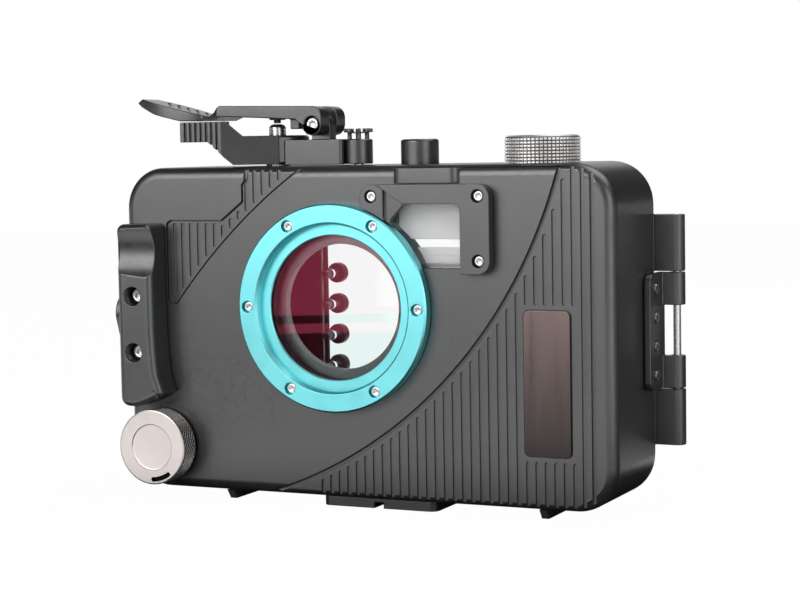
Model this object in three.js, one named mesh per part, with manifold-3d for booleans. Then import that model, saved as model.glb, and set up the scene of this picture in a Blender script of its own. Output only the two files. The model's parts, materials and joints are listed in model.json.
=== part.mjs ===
// Underwater housing for a compact camera: front shell, screwed port ring and glass, flash window,
// hinged rear door with its window and buttons, side latch, and the controls on top.
// Millimetres. +X to the hinge side, +Y to the rear, +Z up.
// Origin: centre of the port glass's front face, on the lens axis.
import * as THREE from "three";
import { mergeVertices } from "three/addons/utils/BufferGeometryUtils.js";
import Module from "manifold-3d";

const wasm = await Module();
wasm.setup();

// Shared fits
const FIT_GAP = 0.3; // between two pieces that seat on each other
const RUN_GAP = 0.35; // round a piece that turns or slides
const OVERRUN = 1; // how far a cutter runs past what it cuts

// Facets round a circle
const LARGE_FACETS = 48;
const MEDIUM_FACETS = 24;
const SMALL_FACETS = 12;
const FINE_FACETS = 8;
const CORNER_STEPS = 4;

// Front shell
const SHELL_LEFT = 75.4; // left wall to the lens axis
const SHELL_RIGHT = 89.9; // lens axis to the right wall
const SHELL_TOP = 43.4;
const SHELL_BOTTOM = 59;
const SHELL_DEPTH = 36.6;
const SHELL_CORNER = 13;
const SHELL_FILLET = 3.6; // round along the front edge
const FRONT_WALL = 5;
const SIDE_WALL = 4.5;
const RIM_GROOVE_WIDTH = 1.8;
const MAIN_RING_SECTION = 0.6; // radius of the main O-ring's section

// Port: glass, its O-ring and the screwed ring
const GLASS_RADIUS = 25;
const GLASS_THICKNESS = 5;
const PORT_RING_SECTION = 0.5;
const SEAT_APERTURE = 19.4;
const SEAT_THICKNESS = 3;
const PORT_BOSS_WALL = 6;
const PORT_SEAL_RADIUS = 23;
const RING_INNER_WALL = 0.95; // from the thread to the counterbores
const RING_OUTER_WALL = 1.15; // from the counterbores to the rim
const RING_PROUD = 4; // ring's front face to the shell's front face
const THREAD_RADIUS = 26; // for a 52 mm filter thread
const LIP_RADIUS = 22.3;
const LIP_THICKNESS = 0.8;
const RING_CHAMFER = 0.5;
const RING_SCREW_COUNT = 6;

// Small socket screws
const SCREW_HEAD_RADIUS = 1.5;
const SCREW_HEAD_HEIGHT = 1.5;
const SCREW_SHANK_RADIUS = 0.9;
const SCREW_SHANK_LENGTH = 3.4;
const SOCKET_RADIUS = 0.75;
const SOCKET_DEPTH = 0.8;
const COUNTERBORE_RADIUS = 1.95;
const HEAD_SUNK = 0.9; // head's top below the face round it

// Flash window, its pane and the angular frame over it
const FLASH_LEFT = 20;
const FLASH_RIGHT = 43.3;
const FLASH_LOW = 13.6;
const FLASH_HIGH = 31.8;
const FLASH_CORNER = 2.4;
const FLASH_ARC_RADIUS = 31; // window's curved side, round the lens axis
const PANE_MARGIN = 1.1;
const PANE_THICKNESS = 2;
const DIFFUSER_THICKNESS = 1.2;
const DIFFUSER_MARGIN = 4; // beyond the window on each side
const DIFFUSER_SLOT_LEFT = 23;
const DIFFUSER_SLOT_LOW = 18.4;
const DIFFUSER_SLOT_HEIGHT = 2.5;
const DIFFUSER_SLOT_ROUND = 1.1;
const FRAME_RIGHT = 52.7;
const FRAME_TOP = 37.6;
const FRAME_BAR_LOW = 10.9;
const FRAME_PROUD = 4;
const FRAME_CORNER = 3.8;
const FRAME_LOBE_X = 14.1;
const FRAME_LOBE_Z = 34;
const FRAME_LOBE_RADIUS = 3.6;
const FRAME_RING_CLEARANCE = 0.4;
const FRAME_SCREW_X = 49;
const FRAME_SCREW_LOW_Z = 14.8;
const FRAME_STEP_DEPTH = 1.6; // how far the three-cornered facet lies below the frame's face
const FRAME_STEP_LEFT = 18.2;
const FRAME_STEP_RIGHT = 24.6;
const FRAME_STEP_LOW_X = 20.4;
const FRAME_STEP_LOW_Z = 27.4;
const FRAME_RIDGE_X = 16; // where the slanting edge meets the frame's top
const FRAME_LOBE_DROP = 0.3; // lobe's face below the frame's face
const HOOD_LEFT = 20.3; // block above the frame
const HOOD_RIGHT = 42;
const HOOD_TOP = 42.3;
const HOOD_LEFT_ROUND = 3;
const HOOD_RIGHT_ROUND = 0.5;
const HOOD_PROUD = 2;
const HOOD_BACK = 3.6; // how far the block runs back into the fillet

// Fluted fields of the front face
const FLUTE_WIDTH = 1.15;
const FLUTE_DEPTH = 0.5;
const FLUTE_END_SHARE = 0.98; // how much of a flute's half width its round end takes
const SHORTEST_FLUTE = 1.8;
const FIELD_DEPTH = 0.4;
const LEFT_FLUTES = 14;
const LEFT_FLUTE_FIRST = -57.1;
const LEFT_FLUTE_PITCH = 2.92;
const RIGHT_FLUTES = 31;
const RIGHT_FLUTE_FIRST = -5.7;
const RIGHT_FLUTE_PITCH = 2.957;
const FLUTE_FROM_BOTTOM = 3.4; // from the flutes' ends to the shell's underside
const FLUTE_FROM_TOP = 4;
const FLUTE_MARGIN = 1.9; // from a flute's end to the line that bounds its field
const ARC_CENTRE_X = -69.3; // long curved groove that bounds the right field
const ARC_CENTRE_Z = 82.3;
const ARC_RADIUS = 148;
const ARC_GROOVE_WIDTH = 0.9;
const PANEL_LOW = 26.7; // plain raised panel at the top left
const PANEL_BEND_X = -40;
const PANEL_EDGE_X = -32.3;
const PANEL_EDGE_Z = 32.6;
const FIELD_LEFT = -60;
const FIELD_TIP_X = -56.6;
const FIELD_TIP_Z = 0.2;
const FIELD_END_X = -15.2;
const FIELD_FROM_TOP = 3.5;
const FIELD_BOW_X = -38.2; // bends the field's long side outwards
const FIELD_BOW_Z = 23.8;

// Badge plate, left bare
const BADGE_FROM_SIDE = 13.5; // from the plate to the shell's right wall
const BADGE_WIDTH = 15.1;
const BADGE_RISE = 12.4; // from the flutes' lower ends to the plate
const BADGE_HEIGHT = 43.7;
const BADGE_CORNER = 2;
const BADGE_RECESS = 0.7;
const BADGE_PROUD = 0.3;
const BADGE_CLEAR = 1.6; // from the plate to the flutes' ends

// Grip at the left
const GRIP_INSET = 2.4; // from the shell's left wall to the grip
const GRIP_HEIGHT = 58.2;
const GRIP_TOP_WIDTH = 12.6;
const GRIP_WAIST_WIDTH = 12.9;
const GRIP_WAIST_RISE = 26.3; // above the sole, as the next ones
const GRIP_FOOT_WIDTH = 15.8;
const GRIP_FOOT_RISE = 4.6;
const GRIP_SOLE_INSET = 5;
const GRIP_CLEAR = 0.8; // from the release cap's rim to the grip's sole
const GRIP_TOE_INSET = 1.6;
const GRIP_TOE_RISE = 0.4;
const GRIP_HEEL_RISE = 2.9; // where the left edge turns into the rounded toe
const GRIP_PROUD = 10;
const GRIP_BEVEL = 1;
const SCALLOP_RISE = 49.3;
const SCALLOP_RADIUS = 11.5;
const SCALLOP_DEPTH = 2.9;
const GRIP_SCREW_INSET = 5.8;
const GRIP_SCREW_HIGH_RISE = 35.4;
const GRIP_SCREW_LOW_RISE = 17.5;
const GRIP_BORE_RADIUS = 3;
const GRIP_HEAD_RADIUS = 2.2;
const GRIP_HEAD_SUNK = 3.6;
const GRIP_HEAD_HEIGHT = 2;
const GRIP_SHANK_RADIUS = 1.3;

// Pressure release port at the lower left
const RELEASE_FROM_SIDE = 13.2;
const RELEASE_FROM_BOTTOM = 14;
const RELEASE_RADIUS = 11.9;
const RELEASE_FRONT = 8.6; // cap's face to the shell's front face
const RELEASE_HEIGHT = 7.3;
const RELEASE_RIM = 0.3;
const RELEASE_FLUTES = 30;
const RELEASE_FLUTE_DEPTH = 0.45;
const RELEASE_STEP_RADIUS = 7.4;
const RELEASE_STEP_DEPTH = 0.35;
const RELEASE_SLOT_RADIUS = 10.3;
const RELEASE_SLOT_WIDTH = 1.6;
const RELEASE_SLOT_FROM_DEG = 268;
const RELEASE_SLOT_TO_DEG = 309;
const SPINDLE_RADIUS = 3;
const SPINDLE_FLANGE_RADIUS = 4.4;
const SPINDLE_FLANGE_THICKNESS = 1.2;
const SPINDLE_TAIL = 6.5; // spindle's end behind the shell's front face
const RELEASE_SEAT_RADIUS = 8;
const RELEASE_SEAT_THICKNESS = 0.7;
const CAP_HOLLOW_RADIUS = 5.4;
const CAP_HOLLOW_DEPTH = 4;

// Controls on top stand in one row along X
const CONTROL_ROW_Y = 16;
const INNER_SHAFT_LENGTH = 5.4; // how far the shafts reach below the shell's top wall

// Zoom lever round the shutter plunger
const HUB_X = -27.6;
const HUB_RADIUS = 10;
const HUB_LIFT = 0.6; // hub's underside to the shell's top
const HUB_HEIGHT = 9;
const HUB_EDGE = 0.6;
const ZOOM_PAD_FRONT = -1.5;
const ZOOM_PAD_BACK = 3.4;
const ZOOM_PAD_LEFT = -53.1;
const ZOOM_PAD_RIGHT = -37.9;
const ZOOM_PAD_RISE = 4.6; // pad's top above the hub's top
const ZOOM_PAD_HEIGHT = 6.3;
const ZOOM_PAD_FOOT_X = -43.2; // where the pad's underside turns down to the arm
const ZOOM_ARM_THICKNESS = 5;
const ZOOM_ARM_SHOULDER = 1.2; // along the arm from the pad's corner, as the next two
const ZOOM_ARM_TOP_END = 6.5;
const ZOOM_ARM_LOW_END = 3.3;
const ZOOM_RIBS = 8;
const ZOOM_RIB_DEPTH = 0.8;
const ZOOM_RIB_SHARE = 0.42; // groove's share of the rib pitch
const SLEEVE_RADIUS = 3.8;
const SLEEVE_SEAT = 3.2; // how far the sleeve stands in the hub
const ZOOM_FINGER_LENGTH = 9;
const ZOOM_FINGER_WIDTH = 3;
const ZOOM_FINGER_HEIGHT = 2.2;

// Shutter plunger
const PLUNGER_CAP_RADIUS = 2.7;
const PLUNGER_RISE = 3.6; // plunger's top above the hub's top
const PLUNGER_CAP_HEIGHT = 6;
const PLUNGER_DOME = 1;
const PLUNGER_SHAFT_RADIUS = 1.5;
const PLUNGER_TRAVEL = 1.5;
const PLUNGER_REACH = 1.5; // plunger's end below the zoom sleeve's end

// Shutter lever
const PIVOT_X = -11.1;
const PIVOT_RISE = 12.7; // above the shell's top, as the other rises here
const PIVOT_ROUND = 3.4;
const LEVER_WIDTH = 17;
const LEVER_RIGHT = -7.7;
const LEVER_NECK_X = -45;
const LEVER_NECK_STEP = 2.2;
const LEVER_TOP_RIGHT_RISE = 18.5;
const LEVER_TOP_LEFT_X = -44;
const LEVER_TOP_LEFT_RISE = 19.3;
const LEVER_UNDER_RIGHT_X = -17;
const LEVER_UNDER_RIGHT_RISE = 14.5;
const LEVER_UNDER_LEFT_X = -44.3;
const LEVER_UNDER_LEFT_RISE = 15.9;
const PAD_ROOT_X = -49.6;
const PAD_ROOT_TOP_RISE = 15.9;
const PAD_ROOT_LOW_X = -46.4;
const PAD_ROOT_LOW_RISE = 14.6;
const PAD_LOW_X = -59.4;
const PAD_LOW_RISE = 14.7;
const PAD_TIP_X = -78.4;
const PAD_TIP_RISE = 21;
const PAD_BROW_X = -74.6;
const PAD_BROW_RISE = 22.2;
const PAD_CHIN_X = -69;
const PAD_CHIN_RISE = 17;
const PAD_HALF_WIDTH = 7.4;
const PAD_OVAL_FROM_DEG = 38;
const PAD_LINES = 5;
const PAD_LINE_PITCH = 3.6;
const PAD_LINE_LENGTH = 10;
const PAD_LINE_WIDTH = 0.7;
const PAD_LINE_TURN_DEG = 35;
const FORK_GAP = 5.4;
const FORK_REACH = 4.2; // from the pivot to the fork's inner end
const LUG_X = -18.6;
const LUG_WIDTH = 3.2;
const LUG_RISE = 11.5;
const ADJUSTER_BOSS_RADIUS = 2.6;
const ADJUSTER_BOSS_DROP = 1.4; // boss below the lever's underside
const ADJUSTER_RADIUS = 1.2;
const PIVOT_HEAD_RADIUS = 2;
const PIVOT_HEAD_HEIGHT = 1.6;
const PIVOT_HEAD_SUNK = 0.5;
const PIVOT_BORE_RADIUS = 2.7;
const PIVOT_SHANK_RADIUS = 1.4;

// Bracket that carries the shutter lever
const BRACKET_RIGHT = -1;
const BRACKET_HEIGHT = 8.1;
const BRACKET_WIDTH = 16;
const BRACKET_ROUND = 1.2;
const EAR_WIDTH = 4.4;
const EAR_ROUND = 3.2;
const HUB_CLEARANCE = 0.5;

// Selector with its four-armed head
const SELECTOR_X = 1.9;
const SELECTOR_Y = 14;
const SELECTOR_RADIUS = 4.45;
const SELECTOR_EDGE = 0.3;
const SELECTOR_RISE = 8;
const SELECTOR_POST_RADIUS = 0.7;
const SELECTOR_POST_CIRCLE = 2.7;
const SELECTOR_POST_RISE = 11.2;
const SELECTOR_STUD_RADIUS = 0.6;
const SELECTOR_STUD_REACH = 4.5;
const SELECTOR_STUD_RISE = 10.7;
const SELECTOR_DISC_RADIUS = 3.2;
const SELECTOR_DISC_RISE = 9.8;
const SELECTOR_DISC_THICKNESS = 0.4;
const SELECTOR_ARMS = 4;
const SELECTOR_TURN_DEG = 29;
const SELECTOR_SHAFT_RADIUS = 1.5;

// Power button
const POWER_X = 21.9;
const POWER_RADIUS = 5.85;
const POWER_RISE = 7.7;
const POWER_TRAVEL = 1.2;
const POWER_ROUND = 0.9;
const POWER_POCKET_DEPTH = 1.9;
const POWER_SHAFT_RADIUS = 1.5;

// Mode dial
const DIAL_X = 62.9;
const DIAL_Y = 14;
const DIAL_RADIUS = 11.45;
const DIAL_RISE = 8.2;
const DIAL_SUNK = 1; // dial's underside below the shell's top
const DIAL_CHAMFER = 0.7;
const DIAL_FLUTES = 36;
const DIAL_FLUTE_DEPTH = 0.45;
const DIAL_SHAFT_RADIUS = 2;
const DRIVE_WHEEL_RADIUS = 7;
const DRIVE_WHEEL_HEIGHT = 3;
const SOCKET_HEIGHT = 3; // how far a shaft stands in its knob

// Feet under the shell
const FOOT_HEIGHT = 3.6; // from the shell's underside to what it stands on
const TRIPOD_LEFT = -8.3;
const TRIPOD_RIGHT = 30.4;
const TRIPOD_FRONT = 4.8;
const TRIPOD_BACK = 24.5;
const TRIPOD_ROUND = 2.5;
const TRIPOD_GROOVE_WIDTH = 3;
const TRIPOD_GROOVE_DEPTH = 2;
const TRIPOD_HOLE_RADIUS = 3.2;
const TRIPOD_HOLE_DEPTH = 2.8; // in the shell's bottom wall
const RAIL_WIDTH = 2.4;
const RAIL_LEFT_X = -41.15;
const RAIL_RIGHT_X = 65.4;
const RAIL_FRONT = 3.9;
const RAIL_FROM_REAR = 6.6; // from the rails' back ends to the shell's rear
const RAIL_SLOPE = 2.4;

// Rear door
const DOOR_FLANGE_INSET = 0.4;
const DOOR_FLANGE_THICKNESS = 1.2;
const DOOR_STEP_INSET = 4.2;
const DOOR_THICKNESS = 5.7;
const DOOR_EDGE_CHAMFER = 0.4;
const WINDOW_LEFT = -22.4;
const WINDOW_FROM_SIDE = 39.9;
const WINDOW_FROM_BOTTOM = 26;
const WINDOW_FROM_TOP = 12.4;
const WINDOW_CORNER = 3;
const WINDOW_MARGIN = 2.6;
const WINDOW_THICKNESS = 2.4;
const WINDOW_FRAME_THICKNESS = 1.3;
const WINDOW_LEDGE = 1.4;
const DOOR_BUTTONS = 4;
const DOOR_BUTTON_X = -20.5;
const DOOR_BUTTON_TOP_Z = 7.8;
const DOOR_BUTTON_PITCH = 10.1;
const DOOR_BUTTON_RADIUS = 3.3;
const DOOR_BUTTON_HEIGHT = 3;
const DOOR_BUTTON_TRAVEL = 1.2;
const DOOR_BUTTON_SHAFT = 1.2;
const DOOR_BUTTON_INSIDE = 1.4; // shaft's end in front of the shell's rear

// Hinge at the right
const HINGE_OUT = 6.1; // hinge axis beyond the shell's right wall
const HINGE_BEHIND = 3.4; // hinge axis behind the shell's rear
const KNUCKLE_RADIUS = 2.6;
const HINGE_PIN_RADIUS = 1.2;
const HINGE_DROP = 0.4; // hinge's middle below the shell's middle
const LEAF_HEIGHT = 35.4;
const LEAF_REACH = 10.8; // how far the leaf reaches forwards from the shell's rear
const LEAF_THICKNESS = 2;
const LEAF_ROUND = 3;
const LEAF_KNUCKLE_HEIGHT = 10;
const DOOR_KNUCKLE_HEIGHT = 17.2;
const HINGE_SCREW_FROM_REAR = 5.3;
const HINGE_SCREW_PITCH = 8.8;
const HINGE_SCREWS = 4;
const HINGE_SCREW_RADIUS = 1.5;
const HINGE_SCREW_LENGTH = 3.4;
const HINGE_HEAD_HEIGHT = 1.2;

// Latch at the left
const LATCH_Y = 13;
const LATCH_Z = -4;
const LATCH_HUB_RADIUS = 6.5;
const LATCH_TAB_Y = 14.6;
const LATCH_TAB_Z = -14;
const LATCH_END_RADIUS = 4.8;
const LATCH_INNER_THICKNESS = 4.2;
const LATCH_ARM_THICKNESS = 4.2;
const LATCH_PIN_RADIUS = 2;
const LATCH_PIN_HEAD_RADIUS = 3.2;
const LATCH_PIN_HEAD_HEIGHT = 1;
const CLAW_WIDTH = 7;
const CLAW_FROM_REAR = 4.6;
const LUG_SIZE_Z = 11;
const LUG_REACH = 3.4;

// Inside the shell
const CRADLE_LEFT = -56;
const CRADLE_RIGHT = 64;
const CRADLE_FRONT = 13;
const CRADLE_FROM_REAR = 4.6;
const CRADLE_HEIGHT = 3;
const SENSOR_FROM_SIDE = 13.5;
const SENSOR_WIDTH = 10.4;
const SENSOR_DEPTH = 9;
const SENSOR_FRONT = 14;
const SENSOR_HEIGHT = 3.4;

// Finishes
const BLACK_SATIN = { color: 0x1b1c1f, roughness: 0.42, metalness: 0.55 };
const BLACK_MATTE = { color: 0x161618, roughness: 0.6, metalness: 0.1 };
const CYAN_ANODISED = { color: 0x1fc4d8, roughness: 0.3, metalness: 0.8 };
const STEEL = { color: 0xc9c9cb, roughness: 0.25, metalness: 1 };
const SILVER_SATIN = { color: 0xc4bfb9, roughness: 0.35, metalness: 0.9 };
const FROSTED = { color: 0xdcdcde, roughness: 0.5, metalness: 0 };
const BADGE_BROWN = { color: 0x6e6360, roughness: 0.4, metalness: 0.5 };
const CLEAR = { color: 0xe8eef0, roughness: 0.05, metalness: 0 };
const RUBBER = { color: 0x141414, roughness: 0.8, metalness: 0 };
const GREY_PLASTIC = { color: 0x9a9a9e, roughness: 0.5, metalness: 0 };
const FOAM = { color: 0x333336, roughness: 0.95, metalness: 0 };

const radians = (degrees) => THREE.MathUtils.degToRad(degrees);

// Turns a three.js geometry into a solid that can be joined and cut.
function solid(geometry) {
  const plain = geometry.index ? geometry.toNonIndexed() : geometry.clone();
  plain.deleteAttribute("normal");
  plain.deleteAttribute("uv");
  const merged = mergeVertices(plain, 1e-4);
  return new wasm.Manifold(
    new wasm.Mesh({
      numProp: 3,
      vertProperties: merged.attributes.position.array,
      triVerts: new Uint32Array(merged.index.array),
    }),
  );
}

// Turns a solid back into a geometry with flat facets.
function geometryOf(body) {
  const mesh = body.getMesh();
  const geometry = new THREE.BufferGeometry();
  geometry.setAttribute("position", new THREE.BufferAttribute(mesh.vertProperties, 3));
  geometry.setIndex(new THREE.BufferAttribute(mesh.triVerts, 1));
  const flat = geometry.toNonIndexed();
  flat.computeVertexNormals();
  return flat;
}

const joined = (bodies) => bodies.reduce((whole, body) => whole.add(body));
const cut = (whole, cutters) => cutters.reduce((left, cutter) => left.subtract(cutter), whole);

// Rectangle with round corners, given by its lowest and highest corner.
function roundedRect(x0, y0, x1, y1, corner) {
  const shape = new THREE.Shape();
  shape.moveTo(x0 + corner, y0);
  shape.lineTo(x1 - corner, y0);
  shape.absarc(x1 - corner, y0 + corner, corner, -Math.PI / 2, 0, false);
  shape.lineTo(x1, y1 - corner);
  shape.absarc(x1 - corner, y1 - corner, corner, 0, Math.PI / 2, false);
  shape.lineTo(x0 + corner, y1);
  shape.absarc(x0 + corner, y1 - corner, corner, Math.PI / 2, Math.PI, false);
  shape.lineTo(x0, y0 + corner);
  shape.absarc(x0 + corner, y0 + corner, corner, Math.PI, 1.5 * Math.PI, false);
  return shape;
}

function polygon(points) {
  return new THREE.Shape(points.map(([x, y]) => new THREE.Vector2(x, y)));
}

function extruded(shape, length, steps = CORNER_STEPS) {
  return new THREE.ExtrudeGeometry(shape, { depth: length, bevelEnabled: false, curveSegments: steps });
}

// Basis that lays a shape's plane in the part: which axes its x, y and height follow.
const alongY = new THREE.Matrix4().makeBasis(
  new THREE.Vector3(1, 0, 0),
  new THREE.Vector3(0, 0, 1),
  new THREE.Vector3(0, -1, 0),
);
const alongX = new THREE.Matrix4().makeBasis(
  new THREE.Vector3(0, 1, 0),
  new THREE.Vector3(0, 0, 1),
  new THREE.Vector3(1, 0, 0),
);

// Plate drawn in X and Z, from yFront back to yRear.
function plateY(shape, yFront, yRear, steps) {
  return solid(extruded(shape, yRear - yFront, steps).applyMatrix4(alongY).translate(0, yRear, 0));
}

// Plate drawn in Y and Z, from xLow to xHigh.
function plateX(shape, xLow, xHigh, steps) {
  return solid(extruded(shape, xHigh - xLow, steps).applyMatrix4(alongX).translate(xLow, 0, 0));
}

// Plate drawn in X and Y, from zLow to zHigh.
function plateZ(shape, zLow, zHigh, steps) {
  return solid(extruded(shape, zHigh - zLow, steps).translate(0, 0, zLow));
}

// Plate as plateY makes it, with its front edge rounded.
function roundedFrontPlate(shape, yFront, yRear, fillet, roundSteps, steps = CORNER_STEPS) {
  const geometry = new THREE.ExtrudeGeometry(shape, {
    depth: yRear - yFront,
    bevelThickness: fillet,
    bevelSize: fillet,
    bevelOffset: -fillet,
    bevelSegments: roundSteps,
    curveSegments: steps,
  });
  geometry.applyMatrix4(alongY).translate(0, yRear + fillet, 0);
  const whole = solid(geometry);
  geometry.computeBoundingBox();
  const { min, max } = geometry.boundingBox;
  return whole.subtract(
    box(min.x - OVERRUN, yRear, min.z - OVERRUN, max.x + OVERRUN, max.y + OVERRUN, max.z + OVERRUN),
  );
}

function box(x0, y0, z0, x1, y1, z1) {
  const geometry = new THREE.BoxGeometry(x1 - x0, y1 - y0, z1 - z0);
  return solid(geometry.translate((x0 + x1) / 2, (y0 + y1) / 2, (z0 + z1) / 2));
}

function rodX(radius, y, z, x0, x1, facets = SMALL_FACETS) {
  const geometry = new THREE.CylinderGeometry(radius, radius, x1 - x0, facets).rotateZ(-Math.PI / 2);
  return solid(geometry.translate((x0 + x1) / 2, y, z));
}

function rodY(radius, x, z, y0, y1, facets = SMALL_FACETS) {
  const geometry = new THREE.CylinderGeometry(radius, radius, y1 - y0, facets);
  return solid(geometry.translate(x, (y0 + y1) / 2, z));
}

function rodZ(radius, x, y, z0, z1, facets = SMALL_FACETS) {
  const geometry = new THREE.CylinderGeometry(radius, radius, z1 - z0, facets).rotateX(Math.PI / 2);
  return solid(geometry.translate(x, y, (z0 + z1) / 2));
}

// Turned piece round Z: profile points are [radius, z], from the axis back to the axis.
function turnedZ(profile, x, y, facets) {
  const points = profile.map(([radius, z]) => new THREE.Vector2(radius, z));
  const geometry = new THREE.LatheGeometry(points, facets).rotateX(Math.PI / 2);
  return solid(geometry.translate(x, y, 0));
}

// Turned piece round Y, given by [radius, y] points.
function turnedY(profile, x, z, facets) {
  const points = profile.map(([radius, y]) => new THREE.Vector2(radius, y));
  return solid(new THREE.LatheGeometry(points, facets).translate(x, 0, z));
}

// Knurled piece round Z: a star outline between two heights, with its edges taken off by a turned blank.
function knurled(profile, x, y, radius, flutes, fluteDepth) {
  const points = [];
  const zLow = Math.min(...profile.map(([, z]) => z));
  const zHigh = Math.max(...profile.map(([, z]) => z));
  for (let i = 0; i < 2 * flutes; i++) {
    const reach = i % 2 ? radius - fluteDepth : radius;
    const angle = (Math.PI * i) / flutes;
    points.push([x + reach * Math.cos(angle), y + reach * Math.sin(angle)]);
  }
  const star = plateZ(polygon(points), zLow - OVERRUN, zHigh + OVERRUN);
  return turnedZ(profile, x, y, LARGE_FACETS).intersect(star);
}

// Socket screw along Y with its head to the front; yHead is the head's front face.
function socketScrewY(x, z, yHead, headRadius, headHeight, shankRadius, shankLength) {
  const head = rodY(headRadius, x, z, yHead, yHead + headHeight);
  const shank = rodY(shankRadius, x, z, yHead + headHeight / 2, yHead + headHeight + shankLength);
  const socket = rodY(headRadius / 2, x, z, yHead - OVERRUN, yHead + headHeight / 2, 6);
  return head.add(shank).subtract(socket);
}

const meshes = new THREE.Group();

function place(name, body, finish) {
  const mesh = new THREE.Mesh(geometryOf(body), new THREE.MeshStandardMaterial(finish));
  mesh.name = name;
  meshes.add(mesh);
}

// Places that several pieces share
const restPlane = -SHELL_BOTTOM - FOOT_HEIGHT;
const railBack = SHELL_DEPTH - RAIL_FROM_REAR;
const fluteLow = -SHELL_BOTTOM + FLUTE_FROM_BOTTOM;
const fluteHigh = SHELL_TOP - FLUTE_FROM_TOP;
const fieldEndZ = SHELL_TOP - FIELD_FROM_TOP;
const badgeRight = SHELL_RIGHT - BADGE_FROM_SIDE;
const badgeLeft = badgeRight - BADGE_WIDTH;
const badgeLow = fluteLow + BADGE_RISE;
const badgeHigh = badgeLow + BADGE_HEIGHT;
const releaseX = -SHELL_LEFT + RELEASE_FROM_SIDE;
const releaseZ = -SHELL_BOTTOM + RELEASE_FROM_BOTTOM;
const gripLeft = -SHELL_LEFT + GRIP_INSET;
const gripTopRight = gripLeft + GRIP_TOP_WIDTH;
const gripWaistRight = gripLeft + GRIP_WAIST_WIDTH;
const gripFootRight = gripLeft + GRIP_FOOT_WIDTH;
const gripSoleX = gripLeft + GRIP_SOLE_INSET;
const gripToeX = gripLeft + GRIP_TOE_INSET;
const gripScrewX = gripLeft + GRIP_SCREW_INSET;
const gripSoleZ = releaseZ + RELEASE_RADIUS + GRIP_CLEAR;
const gripTop = gripSoleZ + GRIP_HEIGHT;
const gripWaistZ = gripSoleZ + GRIP_WAIST_RISE;
const gripFootZ = gripSoleZ + GRIP_FOOT_RISE;
const gripToeZ = gripSoleZ + GRIP_TOE_RISE;
const gripHeelZ = gripSoleZ + GRIP_HEEL_RISE;
const scallopZ = gripSoleZ + SCALLOP_RISE;
const gripScrewHighZ = gripSoleZ + GRIP_SCREW_HIGH_RISE;
const gripScrewLowZ = gripSoleZ + GRIP_SCREW_LOW_RISE;
const ringScrewCircle = THREAD_RADIUS + RING_INNER_WALL + COUNTERBORE_RADIUS;
const ringRadius = ringScrewCircle + COUNTERBORE_RADIUS + RING_OUTER_WALL;
const pivotZ = SHELL_TOP + PIVOT_RISE;
const leverTopRightZ = SHELL_TOP + LEVER_TOP_RIGHT_RISE;
const leverTopLeftZ = SHELL_TOP + LEVER_TOP_LEFT_RISE;
const leverUnderRightZ = SHELL_TOP + LEVER_UNDER_RIGHT_RISE;
const leverUnderLeftZ = SHELL_TOP + LEVER_UNDER_LEFT_RISE;
const padRootTopZ = SHELL_TOP + PAD_ROOT_TOP_RISE;
const padRootLowZ = SHELL_TOP + PAD_ROOT_LOW_RISE;
const padLowZ = SHELL_TOP + PAD_LOW_RISE;
const padTipZ = SHELL_TOP + PAD_TIP_RISE;
const padBrowZ = SHELL_TOP + PAD_BROW_RISE;
const padChinZ = SHELL_TOP + PAD_CHIN_RISE;
const lugLow = SHELL_TOP + LUG_RISE;
const adjusterBossLow = leverUnderLeftZ - ADJUSTER_BOSS_DROP;
const bracketTop = SHELL_TOP + BRACKET_HEIGHT;
const selectorTop = SHELL_TOP + SELECTOR_RISE;
const selectorPostTop = SHELL_TOP + SELECTOR_POST_RISE;
const selectorStudZ = SHELL_TOP + SELECTOR_STUD_RISE;
const selectorDiscZ = SHELL_TOP + SELECTOR_DISC_RISE;
const powerTop = SHELL_TOP + POWER_RISE;
const dialTop = SHELL_TOP + DIAL_RISE;
const dialLow = SHELL_TOP - DIAL_SUNK;
const dialPocketFloor = dialLow - RUN_GAP;
const hingeX = SHELL_RIGHT + HINGE_OUT;
const hingeY = SHELL_DEPTH + HINGE_BEHIND;
const hingeMiddleZ = (SHELL_TOP - SHELL_BOTTOM) / 2 - HINGE_DROP;
const leafFront = SHELL_DEPTH - LEAF_REACH;
const hingeScrewY = SHELL_DEPTH - HINGE_SCREW_FROM_REAR;
const doorButtonInnerEnd = SHELL_DEPTH - DOOR_BUTTON_INSIDE;
const clawEndY = SHELL_DEPTH - CLAW_FROM_REAR;
const cradleBack = SHELL_DEPTH - CRADLE_FROM_REAR;
const windowHigh = SHELL_TOP - WINDOW_FROM_TOP;
const windowLow = -SHELL_BOTTOM + WINDOW_FROM_BOTTOM;
const windowRight = SHELL_RIGHT - WINDOW_FROM_SIDE;
const seatRadius = GLASS_RADIUS + FIT_GAP;
const seatFront = GLASS_THICKNESS + 2 * PORT_RING_SECTION + FIT_GAP;
const bossRear = seatFront + SEAT_THICKNESS;
const bossRadius = seatRadius + PORT_BOSS_WALL;
const shellFace = 0;
const cavityTop = SHELL_TOP - SIDE_WALL;
const cavityFloor = -SHELL_BOTTOM + SIDE_WALL;
const innerShaftEnd = cavityTop - INNER_SHAFT_LENGTH;
const sensorLeft = SHELL_RIGHT - SENSOR_FROM_SIDE - SENSOR_WIDTH;
const ringHoles = Array.from({ length: RING_SCREW_COUNT }, (_, i) => {
  const angle = (2 * Math.PI * i) / RING_SCREW_COUNT;
  return [ringScrewCircle * Math.cos(angle), ringScrewCircle * Math.sin(angle)];
});
const frameHoles = [
  [FRAME_LOBE_X, FRAME_LOBE_Z],
  [FRAME_SCREW_X, FRAME_LOBE_Z],
  [FRAME_SCREW_X, FRAME_SCREW_LOW_Z],
];
const gripHoles = [
  [gripScrewX, gripScrewHighZ],
  [gripScrewX, gripScrewLowZ],
];
const threadHoleRadius = SCREW_SHANK_RADIUS + FIT_GAP;
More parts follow.
